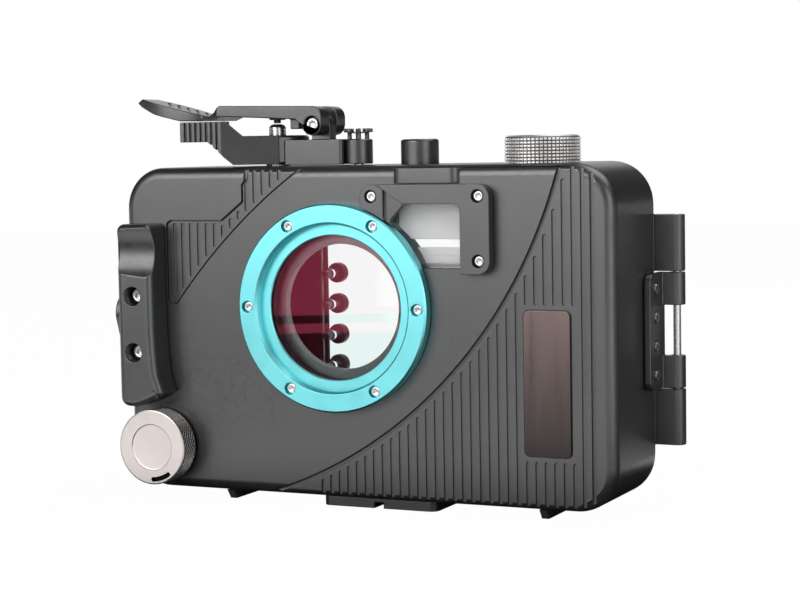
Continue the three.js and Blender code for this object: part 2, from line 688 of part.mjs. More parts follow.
const ringHeadFront = -RING_PROUD + HEAD_SUNK;
const frameHeadFront = -FRAME_PROUD + HEAD_SUNK;
const gripHeadFront = -GRIP_PROUD + GRIP_HEAD_SUNK;
const hubBottom = SHELL_TOP + HUB_LIFT;
const hubTop = hubBottom + HUB_HEIGHT;
const zoomPadTop = hubTop + ZOOM_PAD_RISE;
const zoomPadLow = zoomPadTop - ZOOM_PAD_HEIGHT;
const plungerTop = hubTop + PLUNGER_RISE;
const leverFront = CONTROL_ROW_Y - LEVER_WIDTH / 2;
const leverBack = CONTROL_ROW_Y + LEVER_WIDTH / 2;
const doorFront = SHELL_DEPTH + FIT_GAP;
const doorBack = doorFront + DOOR_THICKNESS;
const leafLow = hingeMiddleZ - LEAF_HEIGHT / 2;
const leafHigh = hingeMiddleZ + LEAF_HEIGHT / 2;
const hingeScrewHeights = Array.from(
  { length: HINGE_SCREWS },
  (_, i) => hingeMiddleZ + (i - (HINGE_SCREWS - 1) / 2) * HINGE_SCREW_PITCH,
);
const rimGrooveInset = (SIDE_WALL - RIM_GROOVE_WIDTH) / 2;
const rimGrooveFloor = SHELL_DEPTH - 2 * MAIN_RING_SECTION;
const sleeveTop = hubBottom + SLEEVE_SEAT;
const tripodX = (TRIPOD_LEFT + TRIPOD_RIGHT) / 2;
const paneFront = doorFront + WINDOW_LEDGE + FIT_GAP;
const paneBack = paneFront + WINDOW_THICKNESS;
const latchRight = -SHELL_LEFT - FIT_GAP;
const latchHeadRoom = LATCH_PIN_HEAD_HEIGHT + FIT_GAP;
const leafKnuckles = [
  [leafHigh - LEAF_KNUCKLE_HEIGHT, leafHigh],
  [leafLow, leafLow + LEAF_KNUCKLE_HEIGHT],
];
const doorKnuckles = [
  [leafHigh + FIT_GAP, leafHigh + FIT_GAP + DOOR_KNUCKLE_HEIGHT],
  [leafLow - FIT_GAP - DOOR_KNUCKLE_HEIGHT, leafLow - FIT_GAP],
];
const doorButtonHeights = Array.from(
  { length: DOOR_BUTTONS },
  (_, i) => DOOR_BUTTON_TOP_Z - i * DOOR_BUTTON_PITCH,
);

// Outline of the shell at a distance inside its outer wall.
function shellOutline(inset) {
  return roundedRect(
    -SHELL_LEFT + inset,
    -SHELL_BOTTOM + inset,
    SHELL_RIGHT - inset,
    SHELL_TOP - inset,
    SHELL_CORNER - inset,
  );
}

// Height at which the long curved groove, moved inwards by a margin, crosses a place along X.
function arcHeight(x, margin) {
  const reach = ARC_RADIUS + margin;
  const across = x - ARC_CENTRE_X;
  return across < reach ? ARC_CENTRE_Z - Math.sqrt(reach * reach - across * across) : SHELL_TOP;
}

// Point on the left field's long side, a quadratic curve from its tip to its upper end.
function fieldSide(share) {
  const curve = new THREE.QuadraticBezierCurve(
    new THREE.Vector2(FIELD_TIP_X, FIELD_TIP_Z),
    new THREE.Vector2(FIELD_BOW_X, FIELD_BOW_Z),
    new THREE.Vector2(FIELD_END_X, fieldEndZ),
  );
  return curve.getPoint(share);
}

// Height of the left field's long side at a place along X.
function fieldSideHeight(x) {
  let low = 0;
  let high = 1;
  for (let i = 0; i < 24; i++) {
    const middle = (low + high) / 2;
    if (fieldSide(middle).x < x) low = middle;
    else high = middle;
  }
  return fieldSide(low).y;
}

// One upright flute with round ends, cut into the front face.
function flute(x, zLow, zHigh, depth) {
  const half = FLUTE_WIDTH / 2;
  const outline = roundedRect(x - half, zLow, x + half, zHigh, half * FLUTE_END_SHARE);
  return plateY(outline, shellFace - OVERRUN, shellFace + depth, 1);
}

function leftField() {
  const points = [];
  const sideSteps = 12;
  points.push([FIELD_LEFT, PANEL_LOW]);
  for (let i = 0; i <= CORNER_STEPS; i++) {
    const angle = Math.PI + (i * Math.PI) / (2 * CORNER_STEPS);
    points.push([
      FIELD_LEFT + FLUTE_MARGIN + FLUTE_MARGIN * Math.cos(angle),
      FIELD_TIP_Z + FLUTE_MARGIN / 2 + FLUTE_MARGIN * Math.sin(angle),
    ]);
  }
  for (let i = 0; i <= sideSteps; i++) {
    const point = fieldSide(i / sideSteps);
    points.push([point.x, point.y]);
  }
  points.push([PANEL_EDGE_X + FLUTE_MARGIN, fieldEndZ]);
  points.push([PANEL_EDGE_X, fieldEndZ - FLUTE_MARGIN]);
  points.push([PANEL_EDGE_X, PANEL_EDGE_Z]);
  points.push([PANEL_BEND_X, PANEL_LOW]);
  return plateY(polygon(points), shellFace - OVERRUN, shellFace + FIELD_DEPTH);
}

function leftFlutes() {
  const cutters = [];
  const slope = (PANEL_EDGE_Z - PANEL_LOW) / (PANEL_EDGE_X - PANEL_BEND_X);
  for (let i = 0; i < LEFT_FLUTES; i++) {
    const x = LEFT_FLUTE_FIRST + i * LEFT_FLUTE_PITCH;
    const low = fieldSideHeight(x) + FLUTE_MARGIN;
    const onSlope = PANEL_LOW + slope * (x - PANEL_BEND_X);
    let high = fluteHigh;
    if (x < PANEL_BEND_X) high = PANEL_LOW - FLUTE_MARGIN / 2;
    else if (x < PANEL_EDGE_X + FLUTE_WIDTH) high = onSlope - FLUTE_MARGIN / 2;
    if (high - low > SHORTEST_FLUTE) cutters.push(flute(x, low, high, FIELD_DEPTH + FLUTE_DEPTH));
  }
  return cutters;
}

function rightFlutes() {
  const cutters = [];
  for (let i = 0; i < RIGHT_FLUTES; i++) {
    const x = RIGHT_FLUTE_FIRST + i * RIGHT_FLUTE_PITCH;
    const beyond = Math.max(0, x - (SHELL_RIGHT - SHELL_CORNER));
    const round = SHELL_CORNER - SHELL_FILLET;
    const drop = round - Math.sqrt(Math.max(0, round * round - beyond * beyond));
    const high = Math.min(arcHeight(x, FLUTE_MARGIN), fluteHigh - drop);
    const low = fluteLow + drop;
    const besideBadge = x > badgeLeft - FLUTE_WIDTH / 2 && x < badgeRight - FLUTE_WIDTH / 2;
    if (besideBadge && high > badgeHigh) {
      cutters.push(flute(x, badgeHigh + BADGE_CLEAR, high, FLUTE_DEPTH));
      cutters.push(flute(x, low, badgeLow - BADGE_CLEAR, FLUTE_DEPTH));
    } else if (high - low > SHORTEST_FLUTE) {
      cutters.push(flute(x, low, high, FLUTE_DEPTH));
    }
  }
  return cutters;
}

// Long curved groove: a thin band along the arc.
function arcGroove() {
  const steps = 24;
  const half = ARC_GROOVE_WIDTH / 2;
  const from = Math.atan2(-SHELL_BOTTOM - ARC_CENTRE_Z + SHELL_FILLET, FIELD_END_X - ARC_CENTRE_X);
  const to = Math.asin((fluteHigh - ARC_CENTRE_Z) / ARC_RADIUS);
  const points = [];
  for (let i = 0; i <= steps; i++) {
    const angle = from + ((to - from) * i) / steps;
    points.push([
      ARC_CENTRE_X + (ARC_RADIUS - half) * Math.cos(angle),
      ARC_CENTRE_Z + (ARC_RADIUS - half) * Math.sin(angle),
    ]);
  }
  for (let i = steps; i >= 0; i--) {
    const angle = from + ((to - from) * i) / steps;
    points.push([
      ARC_CENTRE_X + (ARC_RADIUS + half) * Math.cos(angle),
      ARC_CENTRE_Z + (ARC_RADIUS + half) * Math.sin(angle),
    ]);
  }
  return plateY(polygon(points.reverse()), shellFace - OVERRUN, shellFace + FLUTE_DEPTH);
}

// Flash window outline, grown by a margin: a rectangle less a disc round the lens axis.
function flashPlate(margin, yFront, yRear) {
  const outline = roundedRect(
    FLASH_LEFT - margin,
    FLASH_LOW - margin,
    FLASH_RIGHT + margin,
    FLASH_HIGH + margin,
    FLASH_CORNER + margin,
  );
  const disc = rodY(FLASH_ARC_RADIUS - margin / 2, 0, 0, yFront - OVERRUN, yRear + OVERRUN, LARGE_FACETS);
  return plateY(outline, yFront, yRear, 5).subtract(disc);
}

// Block above the flash frame, seen from above: its two front corners are round.
function hood() {
  const front = shellFace - HOOD_PROUD;
  const plan = new THREE.Shape();
  plan.moveTo(HOOD_LEFT, HOOD_BACK);
  plan.lineTo(HOOD_LEFT, front + HOOD_LEFT_ROUND);
  plan.absarc(
    HOOD_LEFT + HOOD_LEFT_ROUND,
    front + HOOD_LEFT_ROUND,
    HOOD_LEFT_ROUND,
    Math.PI,
    1.5 * Math.PI,
    false,
  );
  plan.lineTo(HOOD_RIGHT - HOOD_RIGHT_ROUND, front);
  plan.absarc(
    HOOD_RIGHT - HOOD_RIGHT_ROUND,
    front + HOOD_RIGHT_ROUND,
    HOOD_RIGHT_ROUND,
    1.5 * Math.PI,
    2 * Math.PI,
    false,
  );
  plan.lineTo(HOOD_RIGHT, HOOD_BACK);
  return plateZ(plan, FRAME_TOP + FIT_GAP, HOOD_TOP, 3);
}

// Band between two outlines of the shell, used for the rim's groove and for the ring that lies in it.
function rimBand(inset, width, yFront, yRear) {
  const outer = plateY(shellOutline(inset), yFront, yRear, 3);
  const inner = plateY(shellOutline(inset + width), yFront - OVERRUN, yRear + OVERRUN, 3);
  return outer.subtract(inner);
}

// Pockets and bores of the controls in the shell's top wall.
function topCutters() {
  const above = SHELL_TOP + OVERRUN;
  const below = cavityTop - OVERRUN;
  const powerFloor = SHELL_TOP - POWER_POCKET_DEPTH;
  return [
    rodZ(DIAL_RADIUS + RUN_GAP, DIAL_X, DIAL_Y, dialPocketFloor, above, LARGE_FACETS),
    rodZ(DIAL_SHAFT_RADIUS + RUN_GAP, DIAL_X, DIAL_Y, below, above),
    rodZ(POWER_RADIUS + RUN_GAP, POWER_X, CONTROL_ROW_Y, powerFloor, above, MEDIUM_FACETS),
    rodZ(POWER_SHAFT_RADIUS + RUN_GAP, POWER_X, CONTROL_ROW_Y, below, above),
    rodZ(SELECTOR_SHAFT_RADIUS + RUN_GAP, SELECTOR_X, SELECTOR_Y, below, above),
    rodZ(SLEEVE_RADIUS + RUN_GAP, HUB_X, CONTROL_ROW_Y, below, above),
  ];
}

// Screw holes and bores in the shell's other walls.
function wallHoles() {
  const front = shellFace - OVERRUN;
  const holes = [];
  for (const [x, z] of [...ringHoles, ...frameHoles]) {
    holes.push(rodY(threadHoleRadius, x, z, front, SCREW_SHANK_LENGTH, FINE_FACETS));
  }
  for (const [x, z] of gripHoles) {
    holes.push(rodY(GRIP_SHANK_RADIUS + FIT_GAP, x, z, front, FRONT_WALL - OVERRUN, FINE_FACETS));
  }
  const blindEnd = SHELL_RIGHT - SIDE_WALL + OVERRUN;
  for (const z of hingeScrewHeights) {
    holes.push(rodX(threadHoleRadius, hingeScrewY, z, blindEnd, SHELL_RIGHT + OVERRUN, FINE_FACETS));
  }
  const latchEnd = -SHELL_LEFT + SIDE_WALL - OVERRUN;
  holes.push(rodX(LATCH_PIN_RADIUS + FIT_GAP, LATCH_Y, LATCH_Z, -SHELL_LEFT - OVERRUN, latchEnd));
  holes.push(rodY(SPINDLE_RADIUS + RUN_GAP, releaseX, releaseZ, front, FRONT_WALL + OVERRUN));
  const footTop = -SHELL_BOTTOM + TRIPOD_HOLE_DEPTH;
  holes.push(rodZ(TRIPOD_HOLE_RADIUS, tripodX, CONTROL_ROW_Y, -SHELL_BOTTOM - OVERRUN, footTop));
  return holes;
}

function frontShell() {
  const outer = roundedFrontPlate(shellOutline(0), shellFace, SHELL_DEPTH, SHELL_FILLET, 4);
  const cavity = plateY(shellOutline(SIDE_WALL), FRONT_WALL, SHELL_DEPTH + OVERRUN, 3);
  const boss = rodY(bossRadius, 0, 0, FRONT_WALL - OVERRUN, bossRear, LARGE_FACETS);
  const body = joined([outer.subtract(cavity), boss, hood()]);
  const badgeHole = roundedRect(badgeLeft, badgeLow, badgeRight, badgeHigh, BADGE_CORNER);
  const paneRear = PANE_THICKNESS + 2 * FIT_GAP;
  const paneSeat = flashPlate(PANE_MARGIN + FIT_GAP, shellFace, paneRear);
  const openSeat = flashPlate(PANE_MARGIN + FIT_GAP, shellFace - FIT_GAP, FIT_GAP);
  return cut(body, [
    rodY(seatRadius, 0, 0, shellFace - OVERRUN, seatFront, LARGE_FACETS),
    rodY(SEAT_APERTURE, 0, 0, seatFront - OVERRUN, bossRear + OVERRUN, LARGE_FACETS),
    flashPlate(0, shellFace - OVERRUN, bossRear + OVERRUN),
    paneSeat,
    openSeat,
    plateY(badgeHole, shellFace - OVERRUN, shellFace + BADGE_RECESS, 2),
    leftField(),
    arcGroove(),
    rimBand(rimGrooveInset, RIM_GROOVE_WIDTH, rimGrooveFloor, SHELL_DEPTH + OVERRUN),
    ...topCutters(),
    ...wallHoles(),
    ...leftFlutes(),
    ...rightFlutes(),
  ]);
}

// Ring with the filter thread's bore, its lip over the glass and six counterbored holes.
function portRing() {
  const back = shellFace - FIT_GAP;
  const front = shellFace - RING_PROUD;
  const lipFront = back - LIP_THICKNESS;
  const body = turnedY(
    [
      [LIP_RADIUS, back],
      [LIP_RADIUS, lipFront],
      [THREAD_RADIUS, lipFront],
      [THREAD_RADIUS, front + RING_CHAMFER],
      [THREAD_RADIUS + RING_CHAMFER, front],
      [ringRadius - RING_CHAMFER, front],
      [ringRadius, front + RING_CHAMFER],
      [ringRadius, back],
      [LIP_RADIUS, back],
    ],
    0,
    0,
    LARGE_FACETS,
  );
  return cut(body, ringHoles.flatMap(([x, z]) => screwPassage(x, z, front, ringHeadFront)));
}

// Counterbore and through hole for one small socket screw in a plate whose face lies at plateFront.
function screwPassage(x, z, plateFront, headFront) {
  const floor = headFront + SCREW_HEAD_HEIGHT + FIT_GAP;
  return [
    rodY(COUNTERBORE_RADIUS, x, z, plateFront - OVERRUN, floor),
    rodY(threadHoleRadius, x, z, floor - OVERRUN, floor + 2 * OVERRUN, FINE_FACETS),
  ];
}

function smallScrew(x, z, headFront) {
  const shankLength = SCREW_SHANK_LENGTH - headFront - SCREW_HEAD_HEIGHT - FIT_GAP;
  return socketScrewY(x, z, headFront, SCREW_HEAD_RADIUS, SCREW_HEAD_HEIGHT, SCREW_SHANK_RADIUS, shankLength);
}

function flashFrame() {
  const back = shellFace - FIT_GAP;
  const front = shellFace - FRAME_PROUD;
  const left = FRAME_LOBE_X - FRAME_LOBE_RADIUS;
  const outline = roundedRect(left, FRAME_BAR_LOW, FRAME_RIGHT, FRAME_TOP, FRAME_CORNER);
  const body = plateY(outline, front, back, 3);
  const beyond = SHELL_LEFT;
  const opening = roundedRect(-beyond, -beyond, FLASH_RIGHT, FLASH_HIGH, FLASH_CORNER);
  const keep = polygon([
    [left - OVERRUN, FRAME_TOP + OVERRUN],
    [left - OVERRUN, 0],
    [FRAME_STEP_LOW_X, FRAME_STEP_LOW_Z],
    [FRAME_STEP_RIGHT, FLASH_HIGH],
    [FRAME_STEP_RIGHT, FRAME_TOP + OVERRUN],
  ]);
  const hole = plateY(opening, front - OVERRUN, back + OVERRUN, 3).subtract(
    plateY(keep, front - 2 * OVERRUN, back + 2 * OVERRUN),
  );
  const disc = rodY(ringRadius + FRAME_RING_CLEARANCE, 0, 0, front - OVERRUN, back + OVERRUN, LARGE_FACETS);
  const lowered = polygon([
    [left - OVERRUN, FRAME_TOP + OVERRUN],
    [left - OVERRUN, 0],
    [FRAME_STEP_RIGHT, 0],
    [FRAME_STEP_RIGHT, FLASH_HIGH],
    [FRAME_RIDGE_X, FRAME_TOP],
    [FRAME_RIDGE_X, FRAME_TOP + OVERRUN],
  ]);
  const lobeDrop = plateY(lowered, front - OVERRUN, front + FRAME_LOBE_DROP);
  const stepDrop = plateY(lowered, front - OVERRUN, front + FRAME_STEP_DEPTH).intersect(
    box(FRAME_STEP_LEFT, front - 2 * OVERRUN, 0, FRAME_RIGHT, back, FRAME_TOP + 2 * OVERRUN),
  );
  const passages = frameHoles.flatMap(([x, z]) => screwPassage(x, z, front, frameHeadFront));
  return cut(body, [hole, disc, lobeDrop, stepDrop, ...passages]);
}

function badgePlate() {
  const outline = roundedRect(
    badgeLeft + FIT_GAP,
    badgeLow + FIT_GAP,
    badgeRight - FIT_GAP,
    badgeHigh - FIT_GAP,
    BADGE_CORNER - FIT_GAP,
  );
  return plateY(outline, shellFace - BADGE_PROUD, shellFace + BADGE_RECESS - FIT_GAP, 2);
}

function grip() {
  const front = shellFace - GRIP_PROUD;
  const back = shellFace - FIT_GAP;
  const outline = polygon([
    [gripLeft, gripHeelZ],
    [gripToeX, gripToeZ],
    [gripSoleX, gripSoleZ],
    [gripFootRight, gripFootZ],
    [gripWaistRight - GRIP_BEVEL, (gripFootZ + gripWaistZ) / 2],
    [gripWaistRight, gripWaistZ],
    [gripTopRight, gripTop - GRIP_BEVEL],
    [gripTopRight - GRIP_BEVEL, gripTop],
    [gripLeft + GRIP_BEVEL, gripTop],
    [gripLeft, gripTop - GRIP_BEVEL],
  ]);
  const body = roundedFrontPlate(outline, front, back, GRIP_BEVEL, 1);
  const scallopY = front + SCALLOP_DEPTH - SCALLOP_RADIUS;
  const beyond = gripLeft - OVERRUN;
  const scallop = rodX(SCALLOP_RADIUS, scallopY, scallopZ, beyond, gripFootRight + OVERRUN, MEDIUM_FACETS);
  const floor = gripHeadFront + GRIP_HEAD_HEIGHT + FIT_GAP;
  const passages = gripHoles.flatMap(([x, z]) => [
    rodY(GRIP_BORE_RADIUS, x, z, front - OVERRUN, floor),
    rodY(GRIP_SHANK_RADIUS + FIT_GAP, x, z, floor - OVERRUN, back + OVERRUN, FINE_FACETS),
  ]);
  return cut(body, [scallop, ...passages]);
}

function gripScrew(x, z) {
  const end = FRONT_WALL - OVERRUN - FIT_GAP;
  const shankLength = end - gripHeadFront - GRIP_HEAD_HEIGHT;
  const head = [GRIP_HEAD_RADIUS, GRIP_HEAD_HEIGHT];
  return socketScrewY(x, z, gripHeadFront, ...head, GRIP_SHANK_RADIUS, shankLength);
}

// Cap of the release port, built upright round Z and then laid so that its top faces forwards.
function releaseCap() {
  const back = shellFace - RELEASE_FRONT + RELEASE_HEIGHT;
  const profile = [
    [0, 0],
    [RELEASE_RADIUS - RELEASE_RIM, 0],
    [RELEASE_RADIUS, RELEASE_RIM],
    [RELEASE_RADIUS, RELEASE_HEIGHT - RELEASE_RIM],
    [RELEASE_RADIUS - RELEASE_RIM, RELEASE_HEIGHT],
    [RELEASE_STEP_RADIUS, RELEASE_HEIGHT],
    [RELEASE_STEP_RADIUS, RELEASE_HEIGHT - RELEASE_STEP_DEPTH],
    [0, RELEASE_HEIGHT - RELEASE_STEP_DEPTH],
  ];
  const body = knurled(profile, 0, 0, RELEASE_RADIUS, RELEASE_FLUTES, RELEASE_FLUTE_DEPTH);
  const hollow = rodZ(CAP_HOLLOW_RADIUS, 0, 0, -OVERRUN, CAP_HOLLOW_DEPTH, MEDIUM_FACETS);
  const whole = cut(body, [hollow, slotArc()]);
  return whole.rotate([90, 0, 0]).translate([releaseX, back, releaseZ]);
}

// Arc-shaped slot in the cap's face.
function slotArc() {
  const steps = 6;
  const inner = RELEASE_SLOT_RADIUS - RELEASE_SLOT_WIDTH / 2;
  const outer = RELEASE_SLOT_RADIUS + RELEASE_SLOT_WIDTH / 2;
  const from = radians(RELEASE_SLOT_FROM_DEG);
  const to = radians(RELEASE_SLOT_TO_DEG);
  const points = [];
  for (let i = 0; i <= steps; i++) {
    const angle = from + ((to - from) * i) / steps;
    points.push([outer * Math.cos(angle), outer * Math.sin(angle)]);
  }
  for (let i = steps; i >= 0; i--) {
    const angle = from + ((to - from) * i) / steps;
    points.push([inner * Math.cos(angle), inner * Math.sin(angle)]);
  }
  const face = RELEASE_HEIGHT;
  return plateZ(polygon(points), face - 2 * RELEASE_STEP_DEPTH, face + OVERRUN);
}

function releaseSpindle() {
  const capBack = shellFace - RELEASE_FRONT + RELEASE_HEIGHT;
  const front = capBack - CAP_HOLLOW_DEPTH + FIT_GAP;
  const core = rodY(SPINDLE_RADIUS, releaseX, releaseZ, front, SPINDLE_TAIL);
  const flange = rodY(SPINDLE_FLANGE_RADIUS, releaseX, releaseZ, front, front + SPINDLE_FLANGE_THICKNESS);
  return core.add(flange);
}

function releaseSeat() {
  const front = shellFace - FIT_GAP - RELEASE_SEAT_THICKNESS;
  const back = shellFace - FIT_GAP;
  const bore = rodY(SPINDLE_RADIUS + RUN_GAP, releaseX, releaseZ, front - OVERRUN, back + OVERRUN);
  return rodY(RELEASE_SEAT_RADIUS, releaseX, releaseZ, front, back, MEDIUM_FACETS).subtract(bore);
}

// Zoom lever: hub, neck and the ribbed pad that stands in front.
function zoomLever() {
  const slope = (zoomPadLow - hubBottom) / (ZOOM_PAD_RIGHT + ZOOM_ARM_LOW_END - ZOOM_PAD_FOOT_X);
  const armRootLow = zoomPadLow - slope * (ZOOM_PAD_RIGHT - ZOOM_PAD_FOOT_X);
  const pad = plateY(
    polygon([
      [ZOOM_PAD_LEFT, zoomPadLow],
      [ZOOM_PAD_FOOT_X, zoomPadLow],
      [ZOOM_PAD_RIGHT, armRootLow],
      [ZOOM_PAD_RIGHT, zoomPadTop],
      [ZOOM_PAD_LEFT, zoomPadTop],
    ]),
    ZOOM_PAD_FRONT,
    ZOOM_PAD_BACK,
  );
  const acrossX = HUB_X - ZOOM_PAD_RIGHT;
  const acrossY = CONTROL_ROW_Y - ZOOM_PAD_FRONT;
  const reach = Math.hypot(acrossX, acrossY);
  const armLength = Math.sqrt(reach ** 2 - HUB_RADIUS ** 2);
  const armTurn = Math.atan2(acrossY, acrossX) - Math.asin(HUB_RADIUS / reach);
  const arm = plateY(
    polygon([
      [0, armRootLow],
      [ZOOM_ARM_LOW_END, hubBottom],
      [armLength, hubBottom],
      [armLength, hubTop],
      [ZOOM_ARM_TOP_END, hubTop],
      [ZOOM_ARM_SHOULDER, zoomPadTop],
      [0, zoomPadTop],
    ]),
    0,
    ZOOM_ARM_THICKNESS,
  )
    .rotate([0, 0, THREE.MathUtils.radToDeg(armTurn)])
    .translate([ZOOM_PAD_RIGHT, ZOOM_PAD_FRONT, 0]);
  const hub = turnedZ(
    [
      [0, hubBottom],
      [HUB_RADIUS - HUB_EDGE, hubBottom],
      [HUB_RADIUS, hubBottom + HUB_EDGE],
      [HUB_RADIUS, hubTop - HUB_EDGE],
      [HUB_RADIUS - HUB_EDGE, hubTop],
      [0, hubTop],
    ],
    HUB_X,
    CONTROL_ROW_Y,
    MEDIUM_FACETS,
  );
  const capFloor = plungerTop - PLUNGER_CAP_HEIGHT - PLUNGER_TRAVEL - FIT_GAP;
  const cutters = [
    rodZ(SLEEVE_RADIUS + FIT_GAP, HUB_X, CONTROL_ROW_Y, hubBottom - OVERRUN, sleeveTop + FIT_GAP),
    rodZ(PLUNGER_SHAFT_RADIUS + RUN_GAP, HUB_X, CONTROL_ROW_Y, hubBottom, hubTop + OVERRUN),
    rodZ(PLUNGER_CAP_RADIUS + RUN_GAP, HUB_X, CONTROL_ROW_Y, capFloor, hubTop + OVERRUN),
  ];
  const pitch = (ZOOM_PAD_RIGHT - ZOOM_PAD_LEFT) / ZOOM_RIBS;
  for (let i = 1; i < ZOOM_RIBS; i++) {
    const left = ZOOM_PAD_LEFT + i * pitch - (pitch * ZOOM_RIB_SHARE) / 2;
    cutters.push(
      box(
        left,
        ZOOM_PAD_FRONT - OVERRUN,
        hubBottom,
        left + pitch * ZOOM_RIB_SHARE,
        ZOOM_PAD_FRONT + ZOOM_RIB_DEPTH,
        zoomPadTop + OVERRUN,
      ),
    );
  }
  return cut(joined([pad, arm, hub]), cutters);
}

// Sleeve inside the hub, with the finger at its lower end that moves the camera's zoom ring.
function zoomShaft() {
  const tube = rodZ(SLEEVE_RADIUS, HUB_X, CONTROL_ROW_Y, innerShaftEnd, sleeveTop);
  const finger = box(
    HUB_X - ZOOM_FINGER_WIDTH / 2,
    CONTROL_ROW_Y - ZOOM_FINGER_LENGTH,
    innerShaftEnd,
    HUB_X + ZOOM_FINGER_WIDTH / 2,
    CONTROL_ROW_Y,
    innerShaftEnd + ZOOM_FINGER_HEIGHT,
  );
  const boreLow = cavityTop - 2 * SLEEVE_RADIUS;
  const bore = rodZ(PLUNGER_SHAFT_RADIUS + RUN_GAP, HUB_X, CONTROL_ROW_Y, boreLow, hubTop);
  return tube.add(finger).subtract(bore);
}

function shutterPlunger() {
  const capLow = plungerTop - PLUNGER_CAP_HEIGHT;
  const end = innerShaftEnd - PLUNGER_REACH;
  const profile = [
    [0, end],
    [PLUNGER_SHAFT_RADIUS, end],
    [PLUNGER_SHAFT_RADIUS, capLow],
    [PLUNGER_CAP_RADIUS, capLow],
    [PLUNGER_CAP_RADIUS, plungerTop - PLUNGER_DOME],
    [PLUNGER_CAP_RADIUS - PLUNGER_DOME / 2, plungerTop - PLUNGER_DOME / 3],
    [PLUNGER_CAP_RADIUS / 2, plungerTop],
    [0, plungerTop],
  ];
  return turnedZ(profile, HUB_X, CONTROL_ROW_Y, 20);
}

// Outline of the shutter lever seen from the front.
function leverProfile() {
  const shape = new THREE.Shape();
  shape.moveTo(LEVER_RIGHT, pivotZ);
  shape.lineTo(LEVER_RIGHT, leverTopRightZ - PIVOT_ROUND);
  const roundZ = leverTopRightZ - PIVOT_ROUND;
  shape.absarc(LEVER_RIGHT - PIVOT_ROUND, roundZ, PIVOT_ROUND, 0, Math.PI / 2, false);
  shape.lineTo(LEVER_TOP_LEFT_X, leverTopLeftZ);
  shape.lineTo(PAD_ROOT_X, padRootTopZ);
  shape.lineTo(PAD_BROW_X, padBrowZ);
  shape.lineTo(PAD_TIP_X, padTipZ);
  shape.lineTo(PAD_CHIN_X, padChinZ);
  shape.lineTo(PAD_LOW_X, padLowZ);
  shape.lineTo(PAD_ROOT_LOW_X, padRootLowZ);
  shape.lineTo(LEVER_UNDER_LEFT_X, leverUnderLeftZ);
  shape.lineTo(LEVER_UNDER_RIGHT_X, leverUnderRightZ);
  shape.lineTo(PIVOT_X - PIVOT_ROUND, pivotZ);
  shape.absarc(PIVOT_X, pivotZ, PIVOT_ROUND, Math.PI, 2 * Math.PI, false);
  return shape;
}

// Outline of the shutter lever seen from above: a bar with an oval thumb pad at its left.
function leverPlan() {
  const half = LEVER_WIDTH / 2;
  const points = [
    [LEVER_RIGHT + OVERRUN, leverFront],
    [LEVER_RIGHT + OVERRUN, leverBack],
    [LEVER_NECK_X, leverBack],
    [LEVER_NECK_X - LEVER_NECK_STEP, CONTROL_ROW_Y + half - LEVER_NECK_STEP],
  ];
  const centre = (PAD_ROOT_X + PAD_TIP_X) / 2;
  const reach = (PAD_ROOT_X - PAD_TIP_X) / 2;
  const steps = 14;
  const first = radians(PAD_OVAL_FROM_DEG);
  for (let i = 0; i <= steps; i++) {
    const angle = first + ((2 * Math.PI - 2 * first) * i) / steps;
    points.push([centre + reach * Math.cos(angle), CONTROL_ROW_Y + PAD_HALF_WIDTH * Math.sin(angle)]);
  }
  points.push([LEVER_NECK_X - LEVER_NECK_STEP, CONTROL_ROW_Y - half + LEVER_NECK_STEP]);
  points.push([LEVER_NECK_X, leverFront]);
  return polygon(points);
}

// Short engraved lines across the thumb pad, on its sloping top.
function padLines() {
  const slope = Math.atan2(padBrowZ - padRootTopZ, PAD_ROOT_X - PAD_BROW_X);
  const lines = [];
  for (let i = 0; i < PAD_LINES; i++) {
    const along = (i + 1) * PAD_LINE_PITCH;
    const x = PAD_ROOT_X - along * Math.cos(slope);
    const z = padRootTopZ + along * Math.sin(slope);
    const bar = new THREE.BoxGeometry(PAD_LINE_WIDTH, PAD_LINE_LENGTH, PAD_LINE_WIDTH);
    bar.rotateZ(radians(PAD_LINE_TURN_DEG));
    bar.rotateY(slope);
    lines.push(solid(bar.translate(x, CONTROL_ROW_Y, z)));
  }
  return lines;
}

function shutterLever() {
  const bar = plateY(leverProfile(), leverFront, leverBack, 3);
  const plan = plateZ(leverPlan(), lugLow - PIVOT_ROUND, padBrowZ + OVERRUN);
  const lug = box(
    LUG_X - LUG_WIDTH / 2,
    CONTROL_ROW_Y - FORK_GAP,
    lugLow,
    LUG_X + LUG_WIDTH / 2,
    CONTROL_ROW_Y + FORK_GAP,
    leverUnderRightZ + OVERRUN,
  );
  const boss = rodZ(ADJUSTER_BOSS_RADIUS, HUB_X, CONTROL_ROW_Y, adjusterBossLow, leverUnderLeftZ);
  const headFloor = leverFront + PIVOT_HEAD_SUNK + PIVOT_HEAD_HEIGHT + FIT_GAP;
  const cutters = [
    box(
      PIVOT_X - FORK_REACH,
      CONTROL_ROW_Y - FORK_GAP / 2,
      lugLow - PIVOT_ROUND,
      LEVER_RIGHT + OVERRUN,
      CONTROL_ROW_Y + FORK_GAP / 2,
      leverTopLeftZ + OVERRUN,
    ),
    rodY(PIVOT_BORE_RADIUS, PIVOT_X, pivotZ, leverFront - OVERRUN, headFloor),
    rodY(PIVOT_SHANK_RADIUS + RUN_GAP, PIVOT_X, pivotZ, leverFront, leverBack + OVERRUN),
    rodZ(ADJUSTER_RADIUS + FIT_GAP, HUB_X, CONTROL_ROW_Y, adjusterBossLow - OVERRUN, padBrowZ),
    ...padLines(),
  ];
  return cut(joined([bar.intersect(plan), lug, boss]), cutters);
}

